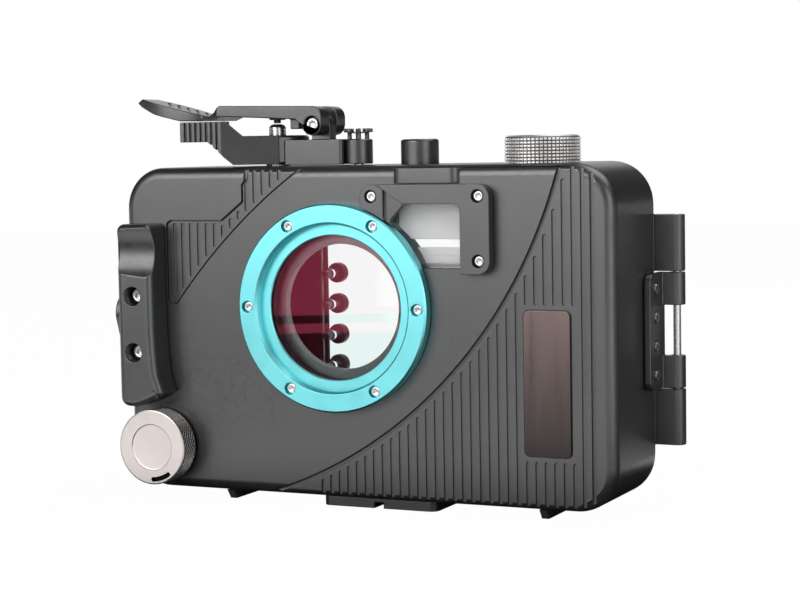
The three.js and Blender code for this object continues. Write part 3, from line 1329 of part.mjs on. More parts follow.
function pivotScrew() {
  const headFront = leverFront + PIVOT_HEAD_SUNK;
  const shankLength = leverBack - OVERRUN - headFront - PIVOT_HEAD_HEIGHT;
  return socketScrewY(
    PIVOT_X,
    pivotZ,
    headFront,
    PIVOT_HEAD_RADIUS,
    PIVOT_HEAD_HEIGHT,
    PIVOT_SHANK_RADIUS,
    shankLength,
  );
}

function shutterAdjuster() {
  const low = plungerTop + FIT_GAP;
  const high = leverTopRightZ;
  const body = rodZ(ADJUSTER_RADIUS, HUB_X, CONTROL_ROW_Y, low, high, FINE_FACETS);
  const socketLow = high - ADJUSTER_RADIUS;
  return body.subtract(rodZ(ADJUSTER_RADIUS / 2, HUB_X, CONTROL_ROW_Y, socketLow, high + OVERRUN, 6));
}

// Bracket that carries the lever's pivot; its sides follow the zoom hub and the selector.
function leverBracket() {
  const low = SHELL_TOP + FIT_GAP;
  const half = BRACKET_WIDTH / 2;
  const plan = roundedRect(
    HUB_X + HUB_RADIUS / 2,
    CONTROL_ROW_Y - half,
    BRACKET_RIGHT,
    CONTROL_ROW_Y + half,
    BRACKET_ROUND,
  );
  const ear = new THREE.Shape();
  ear.moveTo(PIVOT_X - EAR_ROUND, bracketTop - OVERRUN);
  ear.lineTo(PIVOT_X + EAR_ROUND, bracketTop - OVERRUN);
  ear.lineTo(PIVOT_X + EAR_ROUND, pivotZ);
  ear.absarc(PIVOT_X, pivotZ, EAR_ROUND, 0, Math.PI, false);
  const body = plateZ(plan, low, bracketTop, 2).add(
    plateY(ear, CONTROL_ROW_Y - EAR_WIDTH / 2, CONTROL_ROW_Y + EAR_WIDTH / 2),
  );
  const hubRoom = rodZ(
    HUB_RADIUS + HUB_CLEARANCE,
    HUB_X,
    CONTROL_ROW_Y,
    low - OVERRUN,
    bracketTop + OVERRUN,
    MEDIUM_FACETS,
  );
  const selectorRoom = rodZ(
    SELECTOR_RADIUS + HUB_CLEARANCE,
    SELECTOR_X,
    SELECTOR_Y,
    low - OVERRUN,
    bracketTop + OVERRUN,
    MEDIUM_FACETS,
  );
  const bore = rodY(PIVOT_SHANK_RADIUS + FIT_GAP, PIVOT_X, pivotZ, leverFront, leverBack);
  return cut(body, [hubRoom, selectorRoom, bore]);
}

// Selector: a plain drum with four posts on top, a thin disc on the posts and a stud through each post.
function selectorKnob() {
  const low = SHELL_TOP + RUN_GAP;
  const drum = turnedZ(
    [
      [0, low],
      [SELECTOR_RADIUS, low],
      [SELECTOR_RADIUS, selectorTop - SELECTOR_EDGE],
      [SELECTOR_RADIUS - SELECTOR_EDGE, selectorTop],
      [0, selectorTop],
    ],
    SELECTOR_X,
    SELECTOR_Y,
    MEDIUM_FACETS,
  );
  const discTop = selectorDiscZ + SELECTOR_DISC_THICKNESS;
  const disc = rodZ(SELECTOR_DISC_RADIUS, SELECTOR_X, SELECTOR_Y, selectorDiscZ, discTop, MEDIUM_FACETS);
  const parts = [drum, disc];
  for (let i = 0; i < SELECTOR_ARMS; i++) {
    const angle = radians(SELECTOR_TURN_DEG) + (2 * Math.PI * i) / SELECTOR_ARMS;
    const x = SELECTOR_X + SELECTOR_POST_CIRCLE * Math.cos(angle);
    const y = SELECTOR_Y + SELECTOR_POST_CIRCLE * Math.sin(angle);
    parts.push(rodZ(SELECTOR_POST_RADIUS, x, y, selectorTop - OVERRUN, selectorPostTop, 8));
    const length = SELECTOR_STUD_REACH - SELECTOR_POST_CIRCLE / 2;
    const stud = new THREE.CylinderGeometry(SELECTOR_STUD_RADIUS, SELECTOR_STUD_RADIUS, length, 8);
    stud.rotateZ(-Math.PI / 2);
    stud.translate(SELECTOR_STUD_REACH - length / 2, 0, 0);
    stud.rotateZ(angle);
    parts.push(solid(stud.translate(SELECTOR_X, SELECTOR_Y, selectorStudZ)));
  }
  const socketTop = low + SOCKET_HEIGHT;
  return joined(parts).subtract(
    rodZ(SELECTOR_SHAFT_RADIUS + FIT_GAP, SELECTOR_X, SELECTOR_Y, low - OVERRUN, socketTop + FIT_GAP),
  );
}

// Shaft of the selector, with a small crank at its lower end.
function selectorShaft() {
  const top = SHELL_TOP + RUN_GAP + SOCKET_HEIGHT;
  const rod = rodZ(SELECTOR_SHAFT_RADIUS, SELECTOR_X, SELECTOR_Y, innerShaftEnd, top);
  const footTop = innerShaftEnd + DRIVE_WHEEL_HEIGHT;
  const foot = rodZ(SELECTOR_RADIUS, SELECTOR_X, SELECTOR_Y, innerShaftEnd, footTop);
  return rod.add(foot);
}

function powerButton() {
  const low = SHELL_TOP - POWER_POCKET_DEPTH + POWER_TRAVEL + FIT_GAP;
  const profile = [
    [0, innerShaftEnd],
    [POWER_SHAFT_RADIUS, innerShaftEnd],
    [POWER_SHAFT_RADIUS, low],
    [POWER_RADIUS, low],
    [POWER_RADIUS, powerTop - POWER_ROUND],
    [POWER_RADIUS - POWER_ROUND / 3, powerTop - POWER_ROUND / 3],
    [POWER_RADIUS - POWER_ROUND, powerTop],
    [0, powerTop],
  ];
  return turnedZ(profile, POWER_X, CONTROL_ROW_Y, MEDIUM_FACETS);
}

function modeDial() {
  const profile = [
    [0, dialLow],
    [DIAL_RADIUS, dialLow],
    [DIAL_RADIUS, dialTop - DIAL_CHAMFER],
    [DIAL_RADIUS - DIAL_CHAMFER, dialTop],
    [0, dialTop],
  ];
  const body = knurled(profile, DIAL_X, DIAL_Y, DIAL_RADIUS, DIAL_FLUTES, DIAL_FLUTE_DEPTH);
  const socketTop = dialLow + SOCKET_HEIGHT + FIT_GAP;
  return body.subtract(rodZ(DIAL_SHAFT_RADIUS + FIT_GAP, DIAL_X, DIAL_Y, dialLow - OVERRUN, socketTop));
}

function modeDialShaft() {
  const rod = rodZ(DIAL_SHAFT_RADIUS, DIAL_X, DIAL_Y, innerShaftEnd, dialLow + SOCKET_HEIGHT);
  const wheelTop = innerShaftEnd + DRIVE_WHEEL_HEIGHT;
  return rod.add(rodZ(DRIVE_WHEEL_RADIUS, DIAL_X, DIAL_Y, innerShaftEnd, wheelTop, MEDIUM_FACETS));
}

function tripodBlock() {
  const high = -SHELL_BOTTOM - FIT_GAP;
  const plan = roundedRect(TRIPOD_LEFT, TRIPOD_FRONT, TRIPOD_RIGHT, TRIPOD_BACK, TRIPOD_ROUND);
  const groove = box(
    tripodX - TRIPOD_GROOVE_WIDTH / 2,
    TRIPOD_FRONT - OVERRUN,
    restPlane - OVERRUN,
    tripodX + TRIPOD_GROOVE_WIDTH / 2,
    TRIPOD_BACK + OVERRUN,
    restPlane + TRIPOD_GROOVE_DEPTH,
  );
  const hole = rodZ(TRIPOD_HOLE_RADIUS, tripodX, CONTROL_ROW_Y, restPlane - OVERRUN, high + OVERRUN);
  return cut(plateZ(plan, restPlane, high, 2), [groove, hole]);
}

function rail(x) {
  const high = -SHELL_BOTTOM - FIT_GAP;
  const side = polygon([
    [RAIL_FRONT, high],
    [RAIL_FRONT + RAIL_SLOPE, restPlane],
    [railBack - RAIL_SLOPE, restPlane],
    [railBack, high],
  ]);
  return plateX(side, x - RAIL_WIDTH / 2, x + RAIL_WIDTH / 2);
}

function rearDoor() {
  const flangeRear = doorFront + DOOR_FLANGE_THICKNESS;
  const flange = plateY(shellOutline(DOOR_FLANGE_INSET), doorFront, flangeRear, 3);
  const step = new THREE.ExtrudeGeometry(shellOutline(DOOR_STEP_INSET), {
    depth: DOOR_THICKNESS - DOOR_EDGE_CHAMFER,
    bevelThickness: DOOR_EDGE_CHAMFER,
    bevelSize: DOOR_EDGE_CHAMFER,
    bevelOffset: -DOOR_EDGE_CHAMFER,
    bevelSegments: 1,
    curveSegments: 3,
  });
  step.applyMatrix4(alongY).translate(0, doorBack - DOOR_EDGE_CHAMFER, 0);
  const below = -2 * SHELL_BOTTOM;
  const keepBehind = box(-2 * SHELL_LEFT, doorFront, below, 2 * SHELL_RIGHT, doorBack, 2 * SHELL_TOP);
  const parts = [flange, solid(step).intersect(keepBehind)];
  for (const [low, high] of doorKnuckles) {
    const armLeft = SHELL_RIGHT - 2 * DOOR_STEP_INSET;
    parts.push(box(armLeft, hingeY - KNUCKLE_RADIUS, low, hingeX, doorBack, high));
    parts.push(rodZ(KNUCKLE_RADIUS, hingeX, hingeY, low, high, MEDIUM_FACETS));
  }
  const catchLow = LATCH_Z - LUG_SIZE_Z / 2;
  const catchHigh = LATCH_Z + LUG_SIZE_Z / 2;
  const catchLeft = -SHELL_LEFT - LUG_REACH;
  const catchRight = -SHELL_LEFT + 2 * DOOR_STEP_INSET;
  parts.push(box(catchLeft, doorFront + FIT_GAP, catchLow, catchRight, doorBack, catchHigh));
  return cut(joined(parts), [
    plateY(windowOutline(0), doorFront - OVERRUN, doorBack + OVERRUN, 2),
    plateY(windowOutline(WINDOW_MARGIN + FIT_GAP), doorFront + WINDOW_LEDGE, doorBack + OVERRUN, 2),
    rodZ(HINGE_PIN_RADIUS + RUN_GAP, hingeX, hingeY, -SHELL_BOTTOM, SHELL_TOP),
  ]);
}

function windowOutline(margin) {
  return roundedRect(
    WINDOW_LEFT - margin,
    windowLow - margin,
    windowRight + margin,
    windowHigh + margin,
    WINDOW_CORNER + margin,
  );
}

function rearWindow() {
  const holes = doorButtonHeights.map((z) =>
    rodY(DOOR_BUTTON_SHAFT + RUN_GAP, DOOR_BUTTON_X, z, paneFront - OVERRUN, paneBack + OVERRUN),
  );
  return cut(plateY(windowOutline(WINDOW_MARGIN), paneFront, paneBack, 2), holes);
}

function rearWindowFrame() {
  const front = doorBack - WINDOW_FRAME_THICKNESS;
  const inner = plateY(windowOutline(0), front - OVERRUN, doorBack + OVERRUN, 2);
  return plateY(windowOutline(WINDOW_MARGIN), front, doorBack, 2).subtract(inner);
}

function doorButton(z) {
  const front = doorBack + FIT_GAP + DOOR_BUTTON_TRAVEL;
  const back = front + DOOR_BUTTON_HEIGHT;
  const cap = rodY(DOOR_BUTTON_RADIUS, DOOR_BUTTON_X, z, front, back, MEDIUM_FACETS);
  const shaft = rodY(DOOR_BUTTON_SHAFT, DOOR_BUTTON_X, z, doorButtonInnerEnd, front + OVERRUN);
  return cap.add(shaft);
}

// Leaf screwed to the shell's right wall, with its two knuckles.
function hingeLeaf() {
  const left = SHELL_RIGHT + FIT_GAP;
  const right = left + LEAF_THICKNESS;
  const plate = roundedRect(leafFront, leafLow, hingeY + KNUCKLE_RADIUS, leafHigh, LEAF_ROUND);
  const square = box(left, hingeY - KNUCKLE_RADIUS - LEAF_ROUND, leafLow, right, hingeY, leafHigh);
  const parts = [plateX(plate, left, right, 2), square];
  for (const [low, high] of leafKnuckles) {
    parts.push(box(left, hingeY - KNUCKLE_RADIUS, low, hingeX, hingeY, high));
    parts.push(rodZ(KNUCKLE_RADIUS, hingeX, hingeY, low, high, MEDIUM_FACETS));
  }
  const cutters = [
    box(left - OVERRUN, hingeY, leafLow - OVERRUN, right + OVERRUN, doorBack, leafHigh + OVERRUN),
    rodZ(HINGE_PIN_RADIUS + FIT_GAP, hingeX, hingeY, -SHELL_BOTTOM, SHELL_TOP),
  ];
  const middle = right - LEAF_THICKNESS / 2;
  for (const z of hingeScrewHeights) {
    cutters.push(rodX(threadHoleRadius, hingeScrewY, z, left - OVERRUN, right + OVERRUN, FINE_FACETS));
    cutters.push(rodX(HINGE_SCREW_RADIUS + FIT_GAP, hingeScrewY, z, middle, right + OVERRUN));
  }
  return cut(joined(parts), cutters);
}

function hingeScrew(z) {
  const floor = SHELL_RIGHT + FIT_GAP + LEAF_THICKNESS / 2;
  const headLeft = floor + FIT_GAP;
  const headRight = headLeft + HINGE_HEAD_HEIGHT;
  const head = rodX(HINGE_SCREW_RADIUS, hingeScrewY, z, headLeft, headRight);
  const tip = headLeft - HINGE_SCREW_LENGTH;
  const shank = rodX(SCREW_SHANK_RADIUS, hingeScrewY, z, tip, headRight, FINE_FACETS);
  const socket = rodX(SOCKET_RADIUS, hingeScrewY, z, headRight - SOCKET_DEPTH, headRight + OVERRUN, 6);
  return head.add(shank).subtract(socket);
}

function hingePin() {
  const low = doorKnuckles[1][0];
  const high = doorKnuckles[0][1];
  return rodZ(HINGE_PIN_RADIUS, hingeX, hingeY, low, high, SMALL_FACETS);
}

// Bar with two round ends, drawn in Y and Z.
function link(y0, z0, radius0, y1, z1, radius1) {
  const turn = Math.atan2(z1 - z0, y1 - y0);
  const lean = Math.acos((radius0 - radius1) / Math.hypot(y1 - y0, z1 - z0));
  const shape = new THREE.Shape();
  shape.absarc(y0, z0, radius0, turn + lean, turn + 2 * Math.PI - lean, false);
  shape.absarc(y1, z1, radius1, turn - lean, turn + lean, false);
  return shape;
}

function latchLever() {
  const right = latchRight - LATCH_INNER_THICKNESS - FIT_GAP;
  const left = right - LATCH_ARM_THICKNESS;
  const arm = plateX(
    link(LATCH_Y, LATCH_Z, LATCH_HUB_RADIUS, LATCH_TAB_Y, LATCH_TAB_Z, LATCH_END_RADIUS),
    left,
    right,
    8,
  );
  const head = rodX(LATCH_PIN_HEAD_RADIUS + FIT_GAP, LATCH_Y, LATCH_Z, left - OVERRUN, left + latchHeadRoom);
  const bore = rodX(LATCH_PIN_RADIUS + RUN_GAP, LATCH_Y, LATCH_Z, left - OVERRUN, right + OVERRUN);
  return cut(arm, [head, bore]);
}

function latchClaw() {
  const left = latchRight - LATCH_INNER_THICKNESS;
  const tail = link(LATCH_Y, LATCH_Z, LATCH_HUB_RADIUS, clawEndY, LATCH_Z, CLAW_WIDTH / 2);
  const bore = rodX(LATCH_PIN_RADIUS + RUN_GAP, LATCH_Y, LATCH_Z, left - OVERRUN, latchRight + OVERRUN);
  return plateX(tail, left, latchRight, 6).subtract(bore);
}

function latchPin() {
  const left = latchRight - LATCH_INNER_THICKNESS - FIT_GAP - LATCH_ARM_THICKNESS;
  const end = -SHELL_LEFT + SIDE_WALL - OVERRUN - FIT_GAP;
  const head = rodX(LATCH_PIN_HEAD_RADIUS, LATCH_Y, LATCH_Z, left, left + LATCH_PIN_HEAD_HEIGHT);
  return head.add(rodX(LATCH_PIN_RADIUS, LATCH_Y, LATCH_Z, left, end));
}

// Tray in the cavity that the camera stands in, with an upright stop at each end.
function cradle() {
  const floor = cavityFloor + FIT_GAP;
  const tray = box(CRADLE_LEFT, CRADLE_FRONT, floor, CRADLE_RIGHT, cradleBack, floor + CRADLE_HEIGHT);
  const stopTop = floor + 3 * CRADLE_HEIGHT;
  return joined([
    tray,
    box(CRADLE_LEFT, CRADLE_FRONT, floor, CRADLE_LEFT + CRADLE_HEIGHT, cradleBack, stopTop),
    box(CRADLE_RIGHT - CRADLE_HEIGHT, CRADLE_FRONT, floor, CRADLE_RIGHT, cradleBack, stopTop),
  ]);
}

function leakSensor() {
  const floor = cavityFloor + FIT_GAP;
  return box(
    sensorLeft,
    SENSOR_FRONT,
    floor,
    sensorLeft + SENSOR_WIDTH,
    SENSOR_FRONT + SENSOR_DEPTH,
    floor + SENSOR_HEIGHT,
  );
}

// Glass whose front face is drawn apart inside the ring's lip, where it can be touched.
function portGlass() {
  const profile = [
    [0, shellFace],
    [LIP_RADIUS - FIT_GAP, shellFace],
    [GLASS_RADIUS, shellFace],
    [GLASS_RADIUS, GLASS_THICKNESS],
    [0, GLASS_THICKNESS],
  ];
  return turnedY(profile, 0, 0, LARGE_FACETS);
}

// Frosted plate behind the flash window, with a slot across it.
function flashDiffuser() {
  const front = FRONT_WALL + FIT_GAP;
  const back = front + DIFFUSER_THICKNESS;
  const plate = roundedRect(
    FLASH_LEFT - DIFFUSER_MARGIN,
    FLASH_LOW - DIFFUSER_MARGIN,
    FLASH_RIGHT + DIFFUSER_MARGIN,
    FLASH_HIGH + DIFFUSER_MARGIN,
    FLASH_CORNER,
  );
  const slot = roundedRect(
    DIFFUSER_SLOT_LEFT,
    DIFFUSER_SLOT_LOW,
    FLASH_RIGHT,
    DIFFUSER_SLOT_LOW + DIFFUSER_SLOT_HEIGHT,
    DIFFUSER_SLOT_ROUND,
  );
  return cut(plateY(plate, front, back), [
    rodY(bossRadius + FIT_GAP, 0, 0, front - OVERRUN, back + OVERRUN, LARGE_FACETS),
    plateY(slot, front - OVERRUN, back + OVERRUN),
  ]);
}

function portSeal() {
  const middle = (GLASS_THICKNESS + seatFront) / 2;
  const geometry = new THREE.TorusGeometry(PORT_SEAL_RADIUS, PORT_RING_SECTION, 8, MEDIUM_FACETS);
  return solid(geometry.rotateX(Math.PI / 2).translate(0, middle, 0));
}

place("front_shell", frontShell(), BLACK_SATIN);
place("port_ring", portRing(), CYAN_ANODISED);
place("port_glass", portGlass(), CLEAR);
place("port_o_ring", portSeal(), RUBBER);
ringHoles.forEach(([x, z], i) => {
  place("port_ring_screw_" + (i + 1), smallScrew(x, z, ringHeadFront), STEEL);
});
place("flash_frame", flashFrame(), BLACK_SATIN);
place("flash_glass", flashPlate(PANE_MARGIN, FIT_GAP, FIT_GAP + PANE_THICKNESS), CLEAR);
place("flash_diffuser", flashDiffuser(), FROSTED);
frameHoles.forEach(([x, z], i) => {
  place("flash_frame_screw_" + (i + 1), smallScrew(x, z, frameHeadFront), STEEL);
});
place("badge_plate", badgePlate(), BADGE_BROWN);
place("grip", grip(), BLACK_SATIN);
place("grip_screw_upper", gripScrew(...gripHoles[0]), STEEL);
place("grip_screw_lower", gripScrew(...gripHoles[1]), STEEL);
place("release_cap", releaseCap(), SILVER_SATIN);
place("release_spindle", releaseSpindle(), STEEL);
place("release_seat", releaseSeat(), RUBBER);
place("zoom_lever", zoomLever(), BLACK_SATIN);
place("zoom_shaft", zoomShaft(), STEEL);
place("shutter_plunger", shutterPlunger(), STEEL);
place("shutter_lever", shutterLever(), BLACK_SATIN);
place("shutter_pivot_screw", pivotScrew(), STEEL);
place("shutter_adjuster", shutterAdjuster(), BLACK_MATTE);
place("lever_bracket", leverBracket(), BLACK_SATIN);
place("selector_knob", selectorKnob(), BLACK_SATIN);
place("selector_shaft", selectorShaft(), STEEL);
place("power_button", powerButton(), BLACK_SATIN);
place("mode_dial", modeDial(), SILVER_SATIN);
place("mode_dial_shaft", modeDialShaft(), STEEL);
place("tripod_block", tripodBlock(), BLACK_SATIN);
place("rail_left", rail(RAIL_LEFT_X), BLACK_MATTE);
place("rail_right", rail(RAIL_RIGHT_X), BLACK_MATTE);
place("rear_door", rearDoor(), BLACK_SATIN);
place("rear_window", rearWindow(), CLEAR);
place("rear_window_frame", rearWindowFrame(), BLACK_SATIN);
const sealInset = rimGrooveInset + FIT_GAP;
place(
  "main_o_ring",
  rimBand(sealInset, 2 * MAIN_RING_SECTION, rimGrooveFloor + FIT_GAP, SHELL_DEPTH),
  RUBBER,
);
doorButtonHeights.forEach((z, i) => {
  place("door_button_" + (i + 1), doorButton(z), BLACK_MATTE);
});
place("hinge_leaf", hingeLeaf(), BLACK_SATIN);
hingeScrewHeights.forEach((z, i) => {
  place("hinge_screw_" + (i + 1), hingeScrew(z), BLACK_MATTE);
});
place("hinge_pin", hingePin(), STEEL);
place("latch_lever", latchLever(), BLACK_SATIN);
place("latch_claw", latchClaw(), STEEL);
place("latch_pin", latchPin(), STEEL);
place("camera_cradle", cradle(), GREY_PLASTIC);
place("leak_sensor", leakSensor(), FOAM);

export default meshes;
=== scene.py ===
"""Looks of an underwater camera housing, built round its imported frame.

Pieces are modelled in millimetres with +Z up and the origin at the middle of the port glass's
front face, and are scaled to metres when they are finished.
"""

import json
import math

import bmesh
import bpy
from mathutils import Matrix, Vector

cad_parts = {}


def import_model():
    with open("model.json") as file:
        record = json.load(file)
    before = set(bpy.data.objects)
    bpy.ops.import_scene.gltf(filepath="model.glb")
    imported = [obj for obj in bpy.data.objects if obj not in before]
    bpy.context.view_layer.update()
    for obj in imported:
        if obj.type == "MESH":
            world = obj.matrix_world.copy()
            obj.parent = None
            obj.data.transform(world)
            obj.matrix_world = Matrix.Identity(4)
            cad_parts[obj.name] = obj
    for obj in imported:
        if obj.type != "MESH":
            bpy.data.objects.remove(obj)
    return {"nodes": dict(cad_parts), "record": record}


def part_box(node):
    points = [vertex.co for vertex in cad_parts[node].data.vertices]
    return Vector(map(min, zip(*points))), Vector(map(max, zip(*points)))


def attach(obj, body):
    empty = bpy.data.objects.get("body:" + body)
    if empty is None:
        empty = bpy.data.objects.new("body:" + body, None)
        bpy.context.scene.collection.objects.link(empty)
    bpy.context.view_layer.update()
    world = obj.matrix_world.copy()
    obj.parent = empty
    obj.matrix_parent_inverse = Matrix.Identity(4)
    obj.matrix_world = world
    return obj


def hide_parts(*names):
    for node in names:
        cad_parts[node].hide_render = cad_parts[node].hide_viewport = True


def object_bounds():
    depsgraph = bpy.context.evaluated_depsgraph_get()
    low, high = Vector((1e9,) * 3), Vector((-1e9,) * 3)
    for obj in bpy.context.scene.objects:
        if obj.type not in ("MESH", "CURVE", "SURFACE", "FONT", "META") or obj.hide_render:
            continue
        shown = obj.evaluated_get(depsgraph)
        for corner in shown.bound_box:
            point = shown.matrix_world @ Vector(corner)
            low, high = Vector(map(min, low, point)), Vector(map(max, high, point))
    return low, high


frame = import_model()
cad_low, cad_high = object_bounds()

MM = 0.001
TINY = 0.002
OVERRUN = 1
X, Y, Z = 0, 1, 2
ALONG = (Vector((1, 0, 0)), Vector((0, 1, 0)), Vector((0, 0, 1)))

# Gaps between pieces that fit or run in one another, and the plane of the shell's face
FIT_GAP = 0.3
RUN_GAP = 0.35
FACE = 0

# Shell
SHELL_CORNER = 13
SHELL_FILLET = 3.6
FRONT_WALL = 5
SIDE_WALL = 4.5
RIM_GROOVE_WIDTH = 1.8
RIM_GROOVE_DEPTH = 1.2
HOOD_LEFT, HOOD_RIGHT = 20.3, 42
HOOD_LOW, HOOD_TOP = 37.9, 42.3
HOOD_PROUD = 2
HOOD_BACK = 3.6
HOOD_ROUND = 3
LIP = 0.14

# Port
SEAT_RADIUS = 25.3
SEAT_FRONT = 6.3
SEAT_REAR = 9.3
APERTURE = 19.4
BOSS_RADIUS = 31.3
THREAD_RADIUS = 26
THREAD_PITCH = 0.75
THREAD_TURNS = 3
THREAD_HEIGHT = 0.35
THREAD_RELIEF = 0.1
THREAD_START = 0.15
THREAD_CHAMFER = 0.35
LIP_RADIUS = 22.3
LIP_FRONT = -1.1
LIP_CHAMFER = 0.25
RING_FRONT_CHAMFER = 0.5
RING_BACK_CHAMFER = 0.2
PORT_SEAL_RADIUS = 23
PORT_SEAL_SECTION = 0.5
PORT_SEAL_PLACE = 5.65
SCREW_CIRCLE = 28.9
SCREW_COUNT = 6

# Small socket screws
HEAD_RADIUS = 1.5
HEAD_HEIGHT = 1.5
HEAD_SUNK = 0.9
SHANK_RADIUS = 0.9
SHANK_END = 3.4
COUNTERBORE = 1.95
HEAD_SOFTNESS = 0.16
SOCKET_SHARE = 0.5
SOCKET_MOUTH = 1.22
SOCKET_DEPTH = 0.6
HEX_SHARE = 0.58

# Flash window and its frame
FLASH_LOW = (20, 13.6)
FLASH_HIGH = (43.3, 31.8)
FLASH_CORNER = 2.4
FLASH_ARC = 31
PANE_MARGIN = 1.1
DIFFUSER_FOLD = 15.8
DIFFUSER_FOLD_WIDTH = 0.35
DIFFUSER_FOLD_DEPTH = 0.25
PANE_THICKNESS = 2
FRAME_CORNER = 3.8
FRAME_HOLES = ((14.1, 34), (49, 34), (49, 14.8))
FRAME_RING_RADIUS = 32.4
FRAME_STEP_LEFT = 18.2
FRAME_STEP_RIGHT = 24.6
FRAME_STEP_LOW = (20.4, 27.4)
FRAME_STEP_DEPTH = 1.6
FRAME_RIDGE_X = 16
FRAME_LOBE_DROP = 0.3

# Fluted fields
FLUTE_WIDTH = 1.15
FLUTE_DEPTH = 0.6
FIELD_DEPTH = 0.35
FIELD_INSET = 1.2
FIELD_SIDE_INSET = 3.1
FLUTE_LOW = -58.2
FLUTE_HIGH = 42.4
FLUTE_ROUND = 0.22
FLUTE_MARGIN = 1.9
LEFT_FLUTES, LEFT_FLUTE_FIRST, LEFT_FLUTE_PITCH = 14, -57.1, 2.92
RIGHT_FLUTES, RIGHT_FLUTE_FIRST, RIGHT_FLUTE_PITCH = 31, -5.7, 2.957
ARC_CENTRE = (-69.3, 82.3)
ARC_RADIUS = 148
ARC_GROOVE_WIDTH = 1.2
ARC_GROOVE_DEPTH = 1.3
ARC_GROOVE_ROUND = 0.36
FIELD_LINE_WIDTH = 0.45
FIELD_LINE_DEPTH = 1.1
PANEL_LOW = 26.7
PANEL_BEND_X = -40
PANEL_EDGE = (-32.3, 32.6)
FIELD_LEFT = -60
FIELD_TIP = (-56.6, 0.2)
FIELD_BOW = (-38.2, 23.8)
FIELD_END = (-15.2, 39.9)
FIELD_END_SLOPE = 1.4
FIELD_TOP_INSET = 0.4
SHARPEST_MITRE = 0.3
BADGE_RECESS = 0.7
BADGE_CLEAR = 1.6
BADGE_CORNER = 2

# Grip
GRIP_ROUND = 2.3
GRIP_HEAD_ROUND = 2.4
GRIP_HEAD_RIGHT = -62.8
GRIP_FOOT_ROUND = 3.1
GRIP_FOOT_RISE = 3.3
GRIP_FOOT_BOW = ((-67.6, 0.15), (-62.5, 1.2))
GRIP_SIDE_LOW = -27.7
GRIP_SIDE_BOW = ((-59.2, -22), (-60.1, -14), (-60.2, -6))
GRIP_MERGE = 0.12
GRIP_SOFTNESS = 0.3
SCALLOP_RADIUS = 11.5
SCALLOP_DEPTH = 2.9
SCALLOP_HEIGHT = 17
SCALLOP_TURN = 4.5
GRIP_HOLES = {"upper": (-67.2, 3.1), "lower": (-67.2, -14.8)}
GRIP_BORE = 3
GRIP_SHANK_BORE = 1.6
GRIP_HEAD_SUNK = 3.6
GRIP_SCREW_RADIUS = 2.2
GRIP_SCREW_HEIGHT = 2
GRIP_SCREW_SHANK = 1.3

# Mode dial
DIAL_CENTRE = (62.9, 14)
DIAL_COLUMNS, DIAL_ROWS = 57, 8
DIAL_ROUND = 0.7
DIAL_BAND = (0.35, 0.45)
DIAL_SOCKET_RADIUS = 2.3
DIAL_SOCKET_DEPTH = 3.3
DIAL_BORE = 2.35
KNURL_DEPTH = 0.45
STUD_GROOVE_SHARE = 0.24

# Release cap
RELEASE_CENTRE = (-62.2, -45)
RELEASE_BORE = 3.35
CAP_COLUMNS, CAP_ROWS = 46, 10
CAP_KNURL_DEPTH = 0.6
CAP_RIM = 0.45
CAP_FACE_RADIUS = 6.9
CAP_FACE_DEPTH = 0.45
CAP_FACE_ROUND = 0.35
CAP_FACE_MOUTH = 0.15
CAP_SLOT_RADIUS = 10.2
CAP_SLOT_WIDTH = 1.5
CAP_SLOT_DEPTH = 1.4
CAP_SLOT_TURNS = (271.6, 305)
CAP_HOLLOW_RADIUS = 5.4
CAP_HOLLOW_DEPTH = 4

# Power button, selector and levers
POWER_CENTRE = (21.9, 16)
POWER_STEM_RADIUS = 1.5
POWER_SUNK = 0.4
POWER_ROUND = 0.9
POWER_POCKET_DEPTH = 1.9
SHAFT_BORE = 1.85
SELECTOR_CENTRE = (1.9, 14)
SELECTOR_RADIUS = 4.45
SELECTOR_TOP = 51.4
SELECTOR_FOOT_CHAMFER = 0.2
SELECTOR_TOP_CHAMFER = 0.35
SELECTOR_DISC_RADIUS = 3.2
SELECTOR_DISC_LOW, SELECTOR_DISC_HIGH = 53.2, 53.6
SELECTOR_DISC_CHAMFER = (0.15, 0.1)
POST_COUNT = 4
POST_FIRST_TURN = 29
POST_CIRCLE = 2.7
POST_RADIUS = 0.7
POST_TOP = 54.6
POST_ROOT = 0.5
STUD_RADIUS = 0.6
STUD_HEIGHT = 54.1
STUD_REACH = (1.35, 4.5)
HUB_CENTRE = (-27.6, 16)
HUB_BORE = 4.15
PIVOT = (-11.1, 56.1)
PIVOT_HEAD_HEIGHT = 1.6
PIVOT_SHANK_RADIUS = 1.4

# Hinge
HINGE = (96, 40)
HINGE_PIN_ROUND = 0.4
HINGE_SCREW_HEAD_HEIGHT = 1.2


def node_box(node):
    """Lowest and highest corner of a node of the frame, in millimetres."""
    low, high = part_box(node)
    return low / MM, high / MM


shell_low, shell_high = node_box("front_shell")
ring_low, ring_high = node_box("port_ring")


# Modelling with bmesh, in millimetres
def block(low, high):
    bm = bmesh.new()
    bmesh.ops.create_cube(bm, size=1)
    low, high = Vector(low), Vector(high)
    bmesh.ops.scale(bm, vec=high - low, verts=bm.verts)
    bmesh.ops.translate(bm, vec=(low + high) / 2, verts=bm.verts)
    return bm


def edges_along(bm, axis):
    return [e for e in bm.edges if abs((e.verts[1].co - e.verts[0].co).normalized()[axis]) > 0.9999]


def edges_on(bm, axis, place):
    return [e for e in bm.edges if all(abs(v.co[axis] - place) < TINY for v in e.verts)]


def rounded(bm, edges, radius, steps=6):
    bmesh.ops.bevel(
        bm, geom=edges, offset=radius, segments=steps, profile=0.5, affect="EDGES",
        material=-1, clamp_overlap=False,
    )
    return bm


def round_block(axis, low, high, corner, steps=8):
    """Block whose edges along one axis are rounded."""
    bm = block(low, high)
    return rounded(bm, edges_along(bm, axis), corner, steps)


